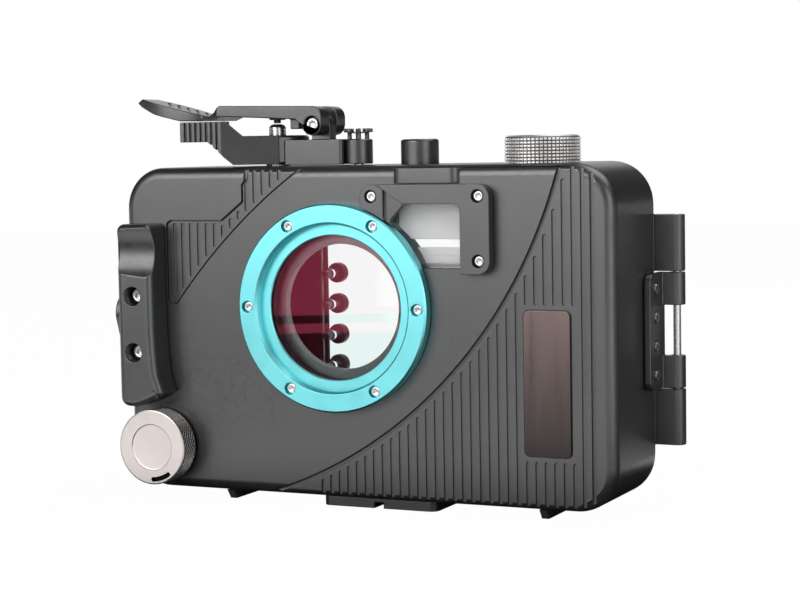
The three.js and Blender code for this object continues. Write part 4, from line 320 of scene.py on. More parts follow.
def laid(bm, axis):
    """Turns a shape that was built round Z so that it stands along another axis."""
    turn = {X: Matrix.Rotation(math.pi / 2, 3, "Y"), Y: Matrix.Rotation(-math.pi / 2, 3, "X")}
    if axis in turn:
        bmesh.ops.rotate(bm, cent=(0, 0, 0), matrix=turn[axis], verts=bm.verts)
    return bm


def across(axis, centre):
    """Point on an axis-parallel line, given by its two other coordinates in X, Y, Z order."""
    point = list(centre)
    point.insert(axis, 0)
    return Vector(point)


def rod(axis, radius, centre, low, high, segments=48):
    bm = bmesh.new()
    bmesh.ops.create_cone(
        bm, cap_ends=True, segments=segments, radius1=radius, radius2=radius, depth=high - low,
    )
    laid(bm, axis)
    middle = across(axis, centre) + ALONG[axis] * (low + high) / 2
    bmesh.ops.translate(bm, vec=middle, verts=bm.verts)
    return bm


def turned(axis, profile, centre, segments=72):
    """Spins a profile of (radius, place along the axis) points into a closed piece."""
    bm = bmesh.new()
    verts = [bm.verts.new((radius, 0, height)) for radius, height in profile]
    edges = [bm.edges.new(pair) for pair in zip(verts, verts[1:])]
    bmesh.ops.spin(
        bm, geom=verts + edges, axis=(0, 0, 1), cent=(0, 0, 0), angle=2 * math.pi,
        steps=segments, use_merge=True, use_duplicate=False,
    )
    bmesh.ops.remove_doubles(bm, verts=bm.verts, dist=TINY / 4)
    bmesh.ops.recalc_face_normals(bm, faces=bm.faces)
    laid(bm, axis)
    bmesh.ops.translate(bm, vec=across(axis, centre), verts=bm.verts)
    return bm


def plate(axis, outline, low, high):
    """Flat outline in the two other axes, drawn out from one height to another."""
    bm = bmesh.new()
    verts = [bm.verts.new(across(axis, point) + ALONG[axis] * low) for point in outline]
    grown = bmesh.ops.extrude_face_region(bm, geom=[bm.faces.new(verts)])
    moved = [part for part in grown["geom"] if isinstance(part, bmesh.types.BMVert)]
    bmesh.ops.translate(bm, vec=ALONG[axis] * (high - low), verts=moved)
    bmesh.ops.recalc_face_normals(bm, faces=bm.faces)
    return bm


def arc(centre, radius, start, end, steps=8):
    """Points on a circle, from one angle to another in degrees."""
    turns = [math.radians(start + (end - start) * i / steps) for i in range(steps + 1)]
    return [(centre[0] + radius * math.cos(t), centre[1] + radius * math.sin(t)) for t in turns]


def bow(start, control, end, steps=12):
    """Points on a quadratic curve."""
    shares = [i / steps for i in range(steps + 1)]
    return [
        tuple((1 - s) ** 2 * a + 2 * s * (1 - s) * b + s * s * c for a, b, c in zip(start, control, end))
        for s in shares
    ]


def scratch(bm):
    """Puts a shape in an object of its own for a moment, for the modifiers that join and cut."""
    mesh = bpy.data.meshes.new("scratch")
    bm.to_mesh(mesh)
    bm.free()
    made = bpy.data.objects.new("scratch", mesh)
    bpy.context.scene.collection.objects.link(made)
    return made


def combined(body, tools, operation):
    holders = [scratch(bm) for bm in [body, *tools]]
    for tool in holders[1:]:
        step = holders[0].modifiers.new(operation, "BOOLEAN")
        step.operation = operation
        step.solver = "EXACT"
        step.object = tool
    bm = bmesh.new()
    bm.from_object(holders[0], bpy.context.evaluated_depsgraph_get())
    for holder in holders:
        mesh = holder.data
        bpy.data.objects.remove(holder)
        bpy.data.meshes.remove(mesh)
    bmesh.ops.remove_doubles(bm, verts=bm.verts, dist=TINY)
    bmesh.ops.dissolve_degenerate(bm, edges=bm.edges, dist=TINY)
    return bm


def cut(body, *tools):
    return combined(body, tools, "DIFFERENCE")


def joined(body, *tools):
    return combined(body, tools, "UNION")


def shared(body, *tools):
    return combined(body, tools, "INTERSECT")


def gathered(shapes):
    """One shape that holds several which don't touch."""
    whole = bmesh.new()
    for bm in shapes:
        mesh = bpy.data.meshes.new("scratch")
        bm.to_mesh(mesh)
        bm.free()
        whole.from_mesh(mesh)
        bpy.data.meshes.remove(mesh)
    return whole


def softened(bm, width, angle=30, steps=2):
    """Rounds every edge that turns by more than an angle, as tumbling does."""
    limit = math.radians(angle)
    sharp = [e for e in bm.edges if e.is_manifold and e.calc_face_angle() > limit]
    return rounded(bm, sharp, width, steps)


def copied(node):
    """A merged copy of a node's mesh, in millimetres, with its flat sides made whole."""
    bm = bmesh.new()
    bm.from_mesh(frame["nodes"][node].data)
    bmesh.ops.scale(bm, vec=(1 / MM, 1 / MM, 1 / MM), verts=bm.verts)
    bmesh.ops.remove_doubles(bm, verts=bm.verts, dist=TINY)
    bmesh.ops.dissolve_limit(bm, angle_limit=math.radians(1), verts=bm.verts, edges=bm.edges)
    return bm


def piece(name, bm, body, finish, sharp=42):
    """Scales a shape to metres and makes it a piece that rides on a body and stands for its node."""
    bmesh.ops.holes_fill(bm, edges=[e for e in bm.edges if e.is_boundary])
    bmesh.ops.scale(bm, vec=(MM, MM, MM), verts=bm.verts)
    mesh = bpy.data.meshes.new(name)
    bm.to_mesh(mesh)
    bm.free()
    mesh.shade_smooth()
    mesh.set_sharp_from_angle(angle=math.radians(sharp))
    mesh.materials.append(finish)
    made = bpy.data.objects.new(name, mesh)
    bpy.context.scene.collection.objects.link(made)
    even = made.modifiers.new("even_shading", "WEIGHTED_NORMAL")
    even.keep_sharp = True
    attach(made, body)
    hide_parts(name.removesuffix("_detailed"))
    return made


# Materials
class Finish:
    """A material with short ways to add patterns that follow the object's own coordinates."""

    def __init__(self, name, color, roughness, metallic=0.0, **sockets):
        self.material = bpy.data.materials.new(name)
        self.material.use_nodes = True
        self.nodes = self.material.node_tree.nodes
        self.links = self.material.node_tree.links
        self.shader = self.nodes["Principled BSDF"]
        self.place = self.nodes.new("ShaderNodeTexCoord").outputs["Object"]
        self.set("Base Color", (*color, 1))
        self.set("Roughness", roughness)
        self.set("Metallic", metallic)
        for socket, value in sockets.items():
            self.set(socket.replace("_", " ").title().replace("Ior", "IOR"), value)

    def set(self, socket, value):
        self.shader.inputs[socket].default_value = value

    def stretched(self, scale):
        mapping = self.nodes.new("ShaderNodeMapping")
        mapping.inputs["Scale"].default_value = scale
        self.links.new(self.place, mapping.inputs["Vector"])
        return mapping.outputs["Vector"]

    def noise(self, scale, detail=3.0, stretch=(1, 1, 1)):
        node = self.nodes.new("ShaderNodeTexNoise")
        node.inputs["Scale"].default_value = scale
        node.inputs["Detail"].default_value = detail
        self.links.new(self.stretched(stretch), node.inputs["Vector"])
        return node.outputs["Fac"]

    def rings(self, scale, distortion=0.4):
        """Fine turning marks round the lens axis or any axis along Y."""
        node = self.nodes.new("ShaderNodeTexWave")
        node.wave_type = "RINGS"
        node.rings_direction = "Y"
        node.inputs["Scale"].default_value = scale
        node.inputs["Distortion"].default_value = distortion
        self.links.new(self.place, node.inputs["Vector"])
        return node.outputs["Fac"]

    def spread(self, value, low, high, socket, start=0.35, end=0.65):
        node = self.nodes.new("ShaderNodeMapRange")
        node.inputs["From Min"].default_value = start
        node.inputs["From Max"].default_value = end
        node.inputs["To Min"].default_value = low
        node.inputs["To Max"].default_value = high
        self.links.new(value, node.inputs["Value"])
        self.links.new(node.outputs["Result"], self.shader.inputs[socket])

    def tint(self, value, dark, light):
        node = self.nodes.new("ShaderNodeMix")
        node.data_type = "RGBA"
        node.inputs["A"].default_value = (*dark, 1)
        node.inputs["B"].default_value = (*light, 1)
        self.links.new(value, node.inputs["Factor"])
        self.links.new(node.outputs["Result"], self.shader.inputs["Base Color"])

    def bump(self, value, strength, depth):
        node = self.nodes.new("ShaderNodeBump")
        node.inputs["Strength"].default_value = strength
        node.inputs["Distance"].default_value = depth * MM
        self.links.new(value, node.inputs["Height"])
        earlier = self.shader.inputs["Normal"]
        if earlier.is_linked:
            self.links.new(earlier.links[0].from_socket, node.inputs["Normal"])
        self.links.new(node.outputs["Normal"], earlier)


def black_anodised(name, dark, light, roughness, grain=0.03):
    """Blasted and anodised aluminium: a dark grey metal with a very fine grain."""
    finish = Finish(name, light, roughness, 0.9)
    finish.tint(finish.noise(60, 4), dark, light)
    finish.spread(finish.noise(500, 2), roughness - 0.03, roughness + 0.04, "Roughness")
    finish.bump(finish.noise(3000, 2), grain, 0.02)
    return finish.material


def blue_green_anodised():
    finish = Finish("blue_green_anodised", (0.27, 0.90, 0.95), 0.38, 1.0)
    finish.tint(finish.noise(25, 2), (0.26, 0.88, 0.94), (0.28, 0.92, 0.96))
    finish.spread(finish.noise(150, 2), 0.35, 0.41, "Roughness")
    finish.bump(finish.rings(600, 0.1), 0.02, 0.01)
    return finish.material


def bright_steel():
    finish = Finish("bright_steel", (0.82, 0.82, 0.83), 0.28, 1.0)
    finish.tint(finish.noise(900, 3), (0.78, 0.78, 0.79), (0.86, 0.86, 0.87))
    finish.spread(finish.noise(800, 3), 0.25, 0.31, "Roughness")
    finish.bump(finish.noise(2500, 2), 0.02, 0.004)
    return finish.material


def dark_steel(name, dark, light):
    finish = Finish(name, dark, 0.34, 0.9)
    finish.tint(finish.noise(700, 3), dark, light)
    finish.spread(finish.noise(1000, 3), 0.28, 0.40, "Roughness")
    finish.bump(finish.noise(2500, 2), 0.04, 0.01)
    return finish.material


def silver_satin(name, color, roughness=0.36):
    """Pale anodised aluminium, blasted before it was coloured."""
    finish = Finish(name, color, roughness, 1.0)
    finish.tint(finish.noise(120, 4), [0.94 * c for c in color], [1.06 * c for c in color])
    finish.spread(finish.noise(600, 2), roughness - 0.04, roughness + 0.05, "Roughness")
    finish.bump(finish.noise(2500, 2), 0.03, 0.015)
    return finish


def knurl_painted_shade(finish, centre, radius, start, full, dark, light):
    """Knurled side round a centre, coloured by distance from it: painted shade, dark between its points
    and lighter on them.
    """
    place = finish.nodes.new("ShaderNodeSeparateXYZ")
    finish.links.new(finish.place, place.inputs["Vector"])
    level = finish.nodes.new("ShaderNodeCombineXYZ")
    for axis in centre:
        finish.links.new(place.outputs[axis], level.inputs[axis])
    off = finish.nodes.new("ShaderNodeVectorMath")
    off.operation = "DISTANCE"
    off.inputs[1].default_value = [centre.get(axis, 0) * MM for axis in "XYZ"]
    finish.links.new(level.outputs["Vector"], off.inputs[0])
    point = finish.nodes.new("ShaderNodeMapRange")
    point.inputs["From Min"].default_value = (radius - start) * MM
    point.inputs["From Max"].default_value = (radius - full) * MM
    finish.links.new(off.outputs["Value"], point.inputs["Value"])
    # Painted shade: the dark colour falls between the knurl's points, the light one on its points.
    side = finish.nodes.new("ShaderNodeMix")
    side.data_type = "RGBA"
    side.inputs["A"].default_value = (*dark, 1)
    side.inputs["B"].default_value = (*light, 1)
    finish.links.new(point.outputs["Result"], side.inputs["Factor"])
    return place, side.outputs["Result"]


def past(finish, place, axis, start, end, far):
    """Blends the finish into another colour between two places along an axis."""
    share = finish.nodes.new("ShaderNodeMapRange")
    share.inputs["From Min"].default_value = start * MM
    share.inputs["From Max"].default_value = end * MM
    finish.links.new(place.outputs[axis], share.inputs["Value"])
    blend = finish.nodes.new("ShaderNodeMix")
    blend.data_type = "RGBA"
    near = finish.shader.inputs["Base Color"]
    finish.links.new(share.outputs["Result"], blend.inputs["Factor"])
    finish.links.new(near.links[0].from_socket, blend.inputs["A"])
    finish.links.new(far, blend.inputs["B"])
    finish.links.new(blend.outputs["Result"], near)


def cap_silver():
    """Pale champagne face in front of a knurled side painted dark as shade, darkest between its points.
    """
    finish = silver_satin("cap_silver", (0.86, 0.79, 0.765), 0.42)
    low, high = node_box("release_cap")
    radius = (high.x - low.x) / 2
    centre = {"X": RELEASE_CENTRE[0], "Z": RELEASE_CENTRE[1]}
    # The side's dark colours are painted shade: near black between the knurl's points, mid grey on them.
    between, point_tone = (0.012, 0.011, 0.010), (0.55, 0.52, 0.505)
    place, side = knurl_painted_shade(finish, centre, radius, 0.2, 0.06, between, point_tone)
    face = low.y + CAP_FACE_DEPTH
    past(finish, place, "Y", face + 0.01, face + 0.05, side)
    return finish.material


def dial_silver():
    """Satin top over a side of small studs, with painted shade making it darker between them."""
    finish = silver_satin("dial_silver", (0.86, 0.84, 0.835), 0.45)
    low, high = node_box("mode_dial")
    radius = (high.x - low.x) / 2
    centre = {"X": DIAL_CENTRE[0], "Y": DIAL_CENTRE[1]}
    # The darker colour is painted shade between the studs; the lighter one is the metal on their points.
    between, point_tone = (0.26, 0.25, 0.245), (0.96, 0.94, 0.93)
    place, side = knurl_painted_shade(finish, centre, radius, 0.4, 0.09, between, point_tone)
    past(finish, place, "Z", high.z - DIAL_BAND[0], high.z - DIAL_BAND[1], side)
    return finish.material


def badge_metal():
    """Dark brown lacquered plate, with painted light: lighter towards its top and darker towards its
    bottom.
    """
    finish = Finish("badge_metal", (0.2, 0.17, 0.16), 0.32, 0.9)
    low, high = node_box("badge_plate")
    height = finish.nodes.new("ShaderNodeSeparateXYZ")
    finish.links.new(finish.place, height.inputs["Vector"])
    # Painted light and shade: the colour runs from dark at the plate's bottom to light at its top.
    rise = finish.nodes.new("ShaderNodeMapRange")
    rise.inputs["From Min"].default_value = low.z * MM
    rise.inputs["From Max"].default_value = high.z * MM
    finish.links.new(height.outputs["Z"], rise.inputs["Value"])
    finish.tint(rise.outputs["Result"], (0.055, 0.048, 0.047), (0.235, 0.175, 0.165))
    finish.spread(finish.noise(300, 3, (1, 1, 0.05)), 0.26, 0.38, "Roughness")
    finish.bump(finish.noise(2500, 3, (1, 1, 0.04)), 0.06, 0.01)
    return finish.material


def coated_glass():
    """Thick port glass whose coating throws back a wine-red reflection."""
    finish = Finish("coated_glass", (1, 1, 1), 0.0, 0.0, transmission_weight=1.0, ior=1.8)
    finish.set("Specular Tint", (1.0, 0.09, 0.2, 1))
    finish.spread(finish.noise(90, 2), 0.0, 0.015, "Roughness")
    return finish.material


def clear_pane(name, color, roughness):
    finish = Finish(name, color, roughness, 0.0, transmission_weight=1.0, ior=1.45)
    finish.spread(finish.noise(120, 2), roughness, roughness + 0.02, "Roughness")
    return finish.material


def seal_rubber():
    finish = Finish("seal_rubber", (0.015, 0.015, 0.015), 0.6)
    finish.tint(finish.noise(300, 3), (0.010, 0.010, 0.010), (0.024, 0.024, 0.024))
    finish.spread(finish.noise(900, 2), 0.5, 0.7, "Roughness")
    finish.bump(finish.noise(3000, 2), 0.12, 0.02)
    return finish.material


def moulded(name, dark, light, roughness):
    """Moulded plastic or foam with a light grain."""
    finish = Finish(name, light, roughness)
    finish.tint(finish.noise(150, 4), dark, light)
    finish.spread(finish.noise(700, 2), roughness - 0.06, roughness + 0.08, "Roughness")
    finish.bump(finish.noise(3500, 3), 0.15, 0.03)
    return finish.material


CASE_BLACK = black_anodised("case_black", (0.135, 0.135, 0.136), (0.155, 0.155, 0.156), 0.36)
CONTROL_BLACK = black_anodised("control_black", (0.115, 0.115, 0.116), (0.14, 0.14, 0.141), 0.32, 0.02)
RING_BLUE = blue_green_anodised()
STEEL = bright_steel()
DARK_STEEL = dark_steel("dark_steel", (0.04, 0.04, 0.042), (0.09, 0.09, 0.092))
RUBBED_STEEL = dark_steel("rubbed_steel", (0.28, 0.28, 0.285), (0.5, 0.5, 0.505))
DIAL_SILVER = dial_silver()
CAP_SILVER = cap_silver()
BADGE = badge_metal()
PORT_GLASS = coated_glass()
PANE = clear_pane("flash_pane", (0.99, 0.99, 0.99), 0.0)
REAR_PANE = clear_pane("rear_pane", (0.985, 0.985, 0.985), 0.0)
RUBBER = seal_rubber()
RAIL_BLACK = moulded("rail_black", (0.030, 0.030, 0.031), (0.045, 0.045, 0.046), 0.42)
BUTTON_BLACK = moulded("button_black", (0.075, 0.075, 0.078), (0.11, 0.11, 0.113), 0.36)
CRADLE_GREY = moulded("cradle_grey", (0.16, 0.16, 0.17), (0.22, 0.22, 0.23), 0.5)
FROSTED = moulded("frosted", (0.84, 0.84, 0.85), (0.9, 0.9, 0.91), 0.5)
SENSOR_FOAM = moulded("sensor_foam", (0.02, 0.02, 0.022), (0.05, 0.05, 0.055), 0.9)


# Front shell
def shell_blank():
    bm = block((shell_low.x, FACE, shell_low.z), shell_high)
    rounded(bm, edges_along(bm, Y), SHELL_CORNER, 16)
    return rounded(bm, edges_on(bm, Y, FACE), SHELL_FILLET, 8)


def shell_ring(inset, front, rear, steps=10):
    """Block that follows the shell's outline at a distance inside it."""
    low = (shell_low.x + inset, front, shell_low.z + inset)
    high = (shell_high.x - inset, rear, shell_high.z - inset)
    return round_block(Y, low, high, SHELL_CORNER - inset, steps)


def hood():
    """Block above the flash frame, with a round left corner."""
    front = FACE - HOOD_PROUD
    outline = [(HOOD_LEFT, HOOD_BACK)]
    outline += arc((HOOD_LEFT + HOOD_ROUND, front + HOOD_ROUND), HOOD_ROUND, 180, 270)
    outline += arc((HOOD_RIGHT - HOOD_ROUND, front + HOOD_ROUND), HOOD_ROUND, 270, 360)
    outline += [(HOOD_RIGHT, HOOD_BACK)]
    return plate(Z, outline, HOOD_LOW, HOOD_TOP)


def flute(x, low, high, depth):
    """Cutter for one upright flute with round ends and a soft floor."""
    half = FLUTE_WIDTH / 2
    outline = arc((x, high - half), half, 0, 180, 10) + arc((x, low + half), half, 180, 360, 10)
    bm = plate(Y, outline, -OVERRUN, depth)
    return rounded(bm, edges_on(bm, Y, depth), FLUTE_ROUND, 4)


def arc_height(x, margin):
    reach = ARC_RADIUS + margin
    off = x - ARC_CENTRE[0]
    return ARC_CENTRE[1] - math.sqrt(reach * reach - off * off) if off < reach else shell_high.z


def field_side_height(x):
    """Height of the left field's long side at a place along X."""
    side = bow(FIELD_TIP, FIELD_BOW, FIELD_END, 200)
    return min(side, key=lambda point: abs(point[0] - x))[1]


def left_field():
    outline = arc((FIELD_LEFT + FLUTE_MARGIN, PANEL_LOW - FLUTE_MARGIN), FLUTE_MARGIN, 90, 180, 6)
    outline.append((FIELD_LEFT, FIELD_TIP[1] + FLUTE_MARGIN))
    outline += arc((FIELD_LEFT + FLUTE_MARGIN, FIELD_TIP[1] + FLUTE_MARGIN), FLUTE_MARGIN, 195, 260, 5)
    outline += bow(FIELD_TIP, FIELD_BOW, FIELD_END, 28)
    above = shell_high.z - FIELD_TOP_INSET
    outline += [
        (FIELD_END[0] + FIELD_END_SLOPE * (above - FIELD_END[1]), above),
        (PANEL_EDGE[0] + FLUTE_MARGIN, above),
        (PANEL_EDGE[0] + FLUTE_MARGIN, FIELD_END[1]),
        (PANEL_EDGE[0], FIELD_END[1] - FLUTE_MARGIN),
        PANEL_EDGE,
        (PANEL_BEND_X, PANEL_LOW),
    ]
    return outline


def arc_ends(inset):
    """Angles at which the arc comes within a distance of the shell's underside and top."""
    low = shell_low.z + inset - ARC_CENTRE[1]
    high = shell_high.z - inset - ARC_CENTRE[1]
    start = math.degrees(math.asin(low / ARC_RADIUS))
    return start, math.degrees(math.asin(high / ARC_RADIUS))


def right_field():
    """Outline of the fluted field right of the arc, which runs out in the shell's rounded edges."""
    start, end = arc_ends(FIELD_INSET)
    low, high = shell_low.z + FIELD_INSET, shell_high.z - FIELD_INSET
    x = shell_high.x - SHELL_CORNER
    turn = SHELL_CORNER - FIELD_SIDE_INSET
    outline = arc(ARC_CENTRE, ARC_RADIUS, end, start, 48)
    outline.append((x, low))
    outline += arc((x, shell_low.z + SHELL_CORNER), turn, 290, 360, 10)
    outline += arc((x, shell_high.z - SHELL_CORNER), turn, 0, 70, 10)
    outline.append((x, high))
    return outline


def line_along(outline, width, front, rear):
    """Narrow cutter that runs just inside an outline, which goes round to the left."""
    points = [Vector(point) for point in outline]
    outer, inner = [], []
    for before, here, after in zip(points[-1:] + points[:-1], points, points[1:] + points[:1]):
        into, out = (here - before).normalized(), (after - here).normalized()
        along = (into + out).normalized()
        inward = along.orthogonal() / max(SHARPEST_MITRE, along.dot(out))
        outer.append(here - inward * LIP / 2)
        inner.append(here + inward * width)
    bm = bmesh.new()
    rims = [
        [bm.verts.new(across(Y, point) + ALONG[Y] * height) for point in rim]
        for rim, height in ((outer, front), (inner, front), (inner, rear), (outer, rear))
    ]
    for first, second in zip(rims, rims[1:] + rims[:1]):
        for i in range(len(points)):
            bm.faces.new((first[i - 1], first[i], second[i], second[i - 1]))
    bmesh.ops.recalc_face_normals(bm, faces=bm.faces)
    return bm


def left_flutes():
    cutters = []
    slope = (PANEL_EDGE[1] - PANEL_LOW) / (PANEL_EDGE[0] - PANEL_BEND_X)
    for i in range(LEFT_FLUTES):
        x = LEFT_FLUTE_FIRST + i * LEFT_FLUTE_PITCH
        low = field_side_height(x) + FLUTE_MARGIN
        high = FLUTE_HIGH
        if x < PANEL_BEND_X:
            high = PANEL_LOW - FLUTE_MARGIN / 2
        elif x < PANEL_EDGE[0] + FLUTE_WIDTH:
            high = PANEL_LOW + slope * (x - PANEL_BEND_X) - FLUTE_MARGIN
        if high - low > FLUTE_MARGIN:
            cutters.append(flute(x, low, high, FIELD_DEPTH + FLUTE_DEPTH))
    return cutters


def right_flutes():
    cutters = []
    badge_low, badge_high = node_box("badge_plate")
    turn = SHELL_CORNER - FIELD_INSET
    for i in range(RIGHT_FLUTES):
        x = RIGHT_FLUTE_FIRST + i * RIGHT_FLUTE_PITCH
        beyond = max(0, x - (shell_high.x - SHELL_CORNER))
        drop = turn - math.sqrt(max(0, turn * turn - beyond * beyond))
        high = min(arc_height(x, FLUTE_MARGIN), FLUTE_HIGH - drop)
        low = FLUTE_LOW + drop
        beside_badge = badge_low.x - FLUTE_WIDTH < x < badge_high.x + FLUTE_WIDTH
        if beside_badge and high > badge_high.z:
            cutters.append(flute(x, badge_high.z + BADGE_CLEAR, high, FIELD_DEPTH + FLUTE_DEPTH))
            cutters.append(flute(x, low, badge_low.z - BADGE_CLEAR, FIELD_DEPTH + FLUTE_DEPTH))
        elif high - low > FLUTE_MARGIN:
            cutters.append(flute(x, low, high, FIELD_DEPTH + FLUTE_DEPTH))
    return cutters


def arc_groove():
    half = ARC_GROOVE_WIDTH / 2
    start, end = arc_ends(FIELD_INSET)
    inner = arc(ARC_CENTRE, ARC_RADIUS - half, start, end, 48)
    outer = arc(ARC_CENTRE, ARC_RADIUS + half, end, start, 48)
    groove = plate(Y, inner + outer, -OVERRUN, ARC_GROOVE_DEPTH)
    return rounded(groove, edges_on(groove, Y, ARC_GROOVE_DEPTH), ARC_GROOVE_ROUND, 4)


def flash_plate(margin, front, rear):
    """The flash window's outline grown by a margin: a round rectangle less a disc."""
    low = (FLASH_LOW[0] - margin, front, FLASH_LOW[1] - margin)
    high = (FLASH_HIGH[0] + margin, rear, FLASH_HIGH[1] + margin)
    disc = rod(Y, FLASH_ARC - margin / 2, (0, 0), front - OVERRUN, rear + OVERRUN, 128)
    return cut(round_block(Y, low, high, FLASH_CORNER + margin, 8), disc)


def top_pockets():
    """Pockets and bores of the controls in the shell's top wall."""
    above = shell_high.z + OVERRUN
    below = shell_high.z - SIDE_WALL - OVERRUN
    dial_low, dial_high = node_box("mode_dial")
    power_low, power_high = node_box("power_button")
    dial_radius = (dial_high.x - dial_low.x) / 2 + RUN_GAP
    power_radius = (power_high.x - power_low.x) / 2 + RUN_GAP
    return [
        rod(Z, dial_radius, DIAL_CENTRE, dial_low.z - RUN_GAP, above, 96),
        rod(Z, power_radius, POWER_CENTRE, shell_high.z - POWER_POCKET_DEPTH, above),
        rod(Z, DIAL_BORE, DIAL_CENTRE, below, above),
        rod(Z, SHAFT_BORE, POWER_CENTRE, below, above),
        rod(Z, SHAFT_BORE, SELECTOR_CENTRE, below, above),
        rod(Z, HUB_BORE, HUB_CENTRE, below, above),
    ]


def front_shell():
    rear = shell_high.y
    badge_low, badge_high = node_box("badge_plate")
    badge_hole = round_block(
        Y,
        (badge_low.x - FIT_GAP, -OVERRUN, badge_low.z - FIT_GAP),
        (badge_high.x + FIT_GAP, BADGE_RECESS, badge_high.z + FIT_GAP),
        BADGE_CORNER,
    )
    hollowed = cut(shell_blank(), shell_ring(SIDE_WALL, FRONT_WALL, rear + OVERRUN))
    body = joined(hollowed, rod(Y, BOSS_RADIUS, (0, 0), FRONT_WALL - OVERRUN, SEAT_REAR, 128), hood())
    groove_inset = (SIDE_WALL - RIM_GROOVE_WIDTH) / 2
    groove = cut(
        shell_ring(groove_inset, rear - RIM_GROOVE_DEPTH, rear + OVERRUN),
        shell_ring(groove_inset + RIM_GROOVE_WIDTH, rear - 2 * RIM_GROOVE_DEPTH, rear + 2 * OVERRUN),
    )
    wells = [
        rod(Y, SEAT_RADIUS, (0, 0), -OVERRUN, SEAT_FRONT, 128),
        rod(Y, APERTURE, (0, 0), SEAT_FRONT - OVERRUN, SEAT_REAR + OVERRUN, 128),
        flash_plate(0, -OVERRUN, SEAT_REAR + OVERRUN),
        flash_plate(PANE_MARGIN + FIT_GAP, -FIT_GAP, PANE_THICKNESS + 2 * FIT_GAP),
        badge_hole,
        groove,
        plate(Y, left_field(), -OVERRUN, FIELD_DEPTH),
        plate(Y, right_field(), -OVERRUN, FIELD_DEPTH),
        line_along(left_field(), FIELD_LINE_WIDTH, -OVERRUN, FIELD_LINE_DEPTH),
        arc_groove(),
        gathered(right_flutes()),
        gathered(left_flutes()),
        *top_pockets(),
        rod(Y, RELEASE_BORE, RELEASE_CENTRE, -OVERRUN, FRONT_WALL + OVERRUN),
    ]
    bm = softened(cut(body, *wells), LIP)
    return piece("front_shell_detailed", bm, "housing", CASE_BLACK)


front_shell()


# Port
def screw_places():
    turns = [2 * math.pi * i / SCREW_COUNT for i in range(SCREW_COUNT)]
    return [(SCREW_CIRCLE * math.cos(t), SCREW_CIRCLE * math.sin(t)) for t in turns]


def screw_holes(places, front):
    floor = front + HEAD_SUNK + HEAD_HEIGHT + FIT_GAP
    bores = [rod(Y, COUNTERBORE, place, front - OVERRUN, floor, 32) for place in places]
    shanks = [rod(Y, SHANK_RADIUS + FIT_GAP, place, floor - FIT_GAP, OVERRUN, 20) for place in places]
    return gathered(bores), gathered(shanks)


def port_ring():
    front, back = ring_low.y, ring_high.y
    radius = ring_high.x
    profile = [
        (LIP_RADIUS, back),
        (LIP_RADIUS, LIP_FRONT + LIP_CHAMFER),
        (LIP_RADIUS + LIP_CHAMFER, LIP_FRONT),
        (THREAD_RADIUS - THREAD_RELIEF, LIP_FRONT),
    ]
    for i in range(THREAD_TURNS):
        root = LIP_FRONT - THREAD_START - i * THREAD_PITCH
        profile.append((THREAD_RADIUS, root))
        profile.append((THREAD_RADIUS - THREAD_HEIGHT, root - THREAD_PITCH / 2))
    profile += [
        (THREAD_RADIUS, LIP_FRONT - THREAD_START - THREAD_TURNS * THREAD_PITCH),
        (THREAD_RADIUS + THREAD_CHAMFER, front),
        (radius - RING_FRONT_CHAMFER, front),
        (radius, front + RING_FRONT_CHAMFER),
        (radius, back - RING_BACK_CHAMFER),
        (radius - RING_BACK_CHAMFER, back),
        (LIP_RADIUS, back),
    ]
    bm = turned(Y, profile, (0, 0), 144)
    bm = cut(bm, *screw_holes(screw_places(), front))
    softened(bm, 0.1, 50)
    return piece("port_ring_detailed", bm, "housing", RING_BLUE)


def socket_screw(axis, centre, front, head_radius, head_height, shank_radius, end, inward=1):
    """Socket-head screw whose head's face lies at front and whose shank runs inward to end."""
    soft = head_radius * HEAD_SOFTNESS
    socket = head_radius * SOCKET_SHARE
    depth = head_height * SOCKET_DEPTH
    rim = socket * SOCKET_MOUTH
    profile = [
        (0, depth + soft),
        (socket, depth),
        (socket, soft / 2),
        (rim, 0),
        (head_radius - soft, 0),
        (head_radius - soft * 0.3, soft * 0.3),
        (head_radius, soft),
        (head_radius, head_height - soft / 2),
        (head_radius - soft / 2, head_height),
        (shank_radius, head_height),
        (shank_radius, abs(end - front)),
        (0, abs(end - front)),
    ]
    return turned(axis, [(radius, front + inward * along) for radius, along in profile], centre, 36)


def hex_socket(axis, centre, front, head_radius, head_height, inward=1):
    """Six-sided cutter that turns a screw's round socket into a hexagon."""
    low, high = sorted((front - inward * OVERRUN, front + inward * head_height * SOCKET_DEPTH))
    return rod(axis, head_radius * HEX_SHARE, centre, low, high, 6)


def face_screws(name, places, front):
    for i, place in enumerate(places):
        head = front + HEAD_SUNK
        bm = socket_screw(Y, place, head, HEAD_RADIUS, HEAD_HEIGHT, SHANK_RADIUS, SHANK_END - FIT_GAP)
        bm = cut(bm, hex_socket(Y, place, head, HEAD_RADIUS, HEAD_HEIGHT))
        piece(f"{name}_{i + 1}_detailed", bm, "housing", STEEL)


def port_glass():
    low, high = node_box("port_glass")
    bm = rod(Y, high.x, (0, 0), low.y, high.y, 144)
    softened(bm, 0.25, 30, 2)
    return piece("port_glass_detailed", bm, "housing", PORT_GLASS)


def port_o_ring():
    profile = arc((PORT_SEAL_RADIUS, PORT_SEAL_PLACE), PORT_SEAL_SECTION, 0, 360, 12)
    bm = turned(Y, profile, (0, 0), 96)
    return piece("port_o_ring_detailed", bm, "housing", RUBBER)


port_ring()
port_glass()
port_o_ring()
face_screws("port_ring_screw", screw_places(), ring_low.y)


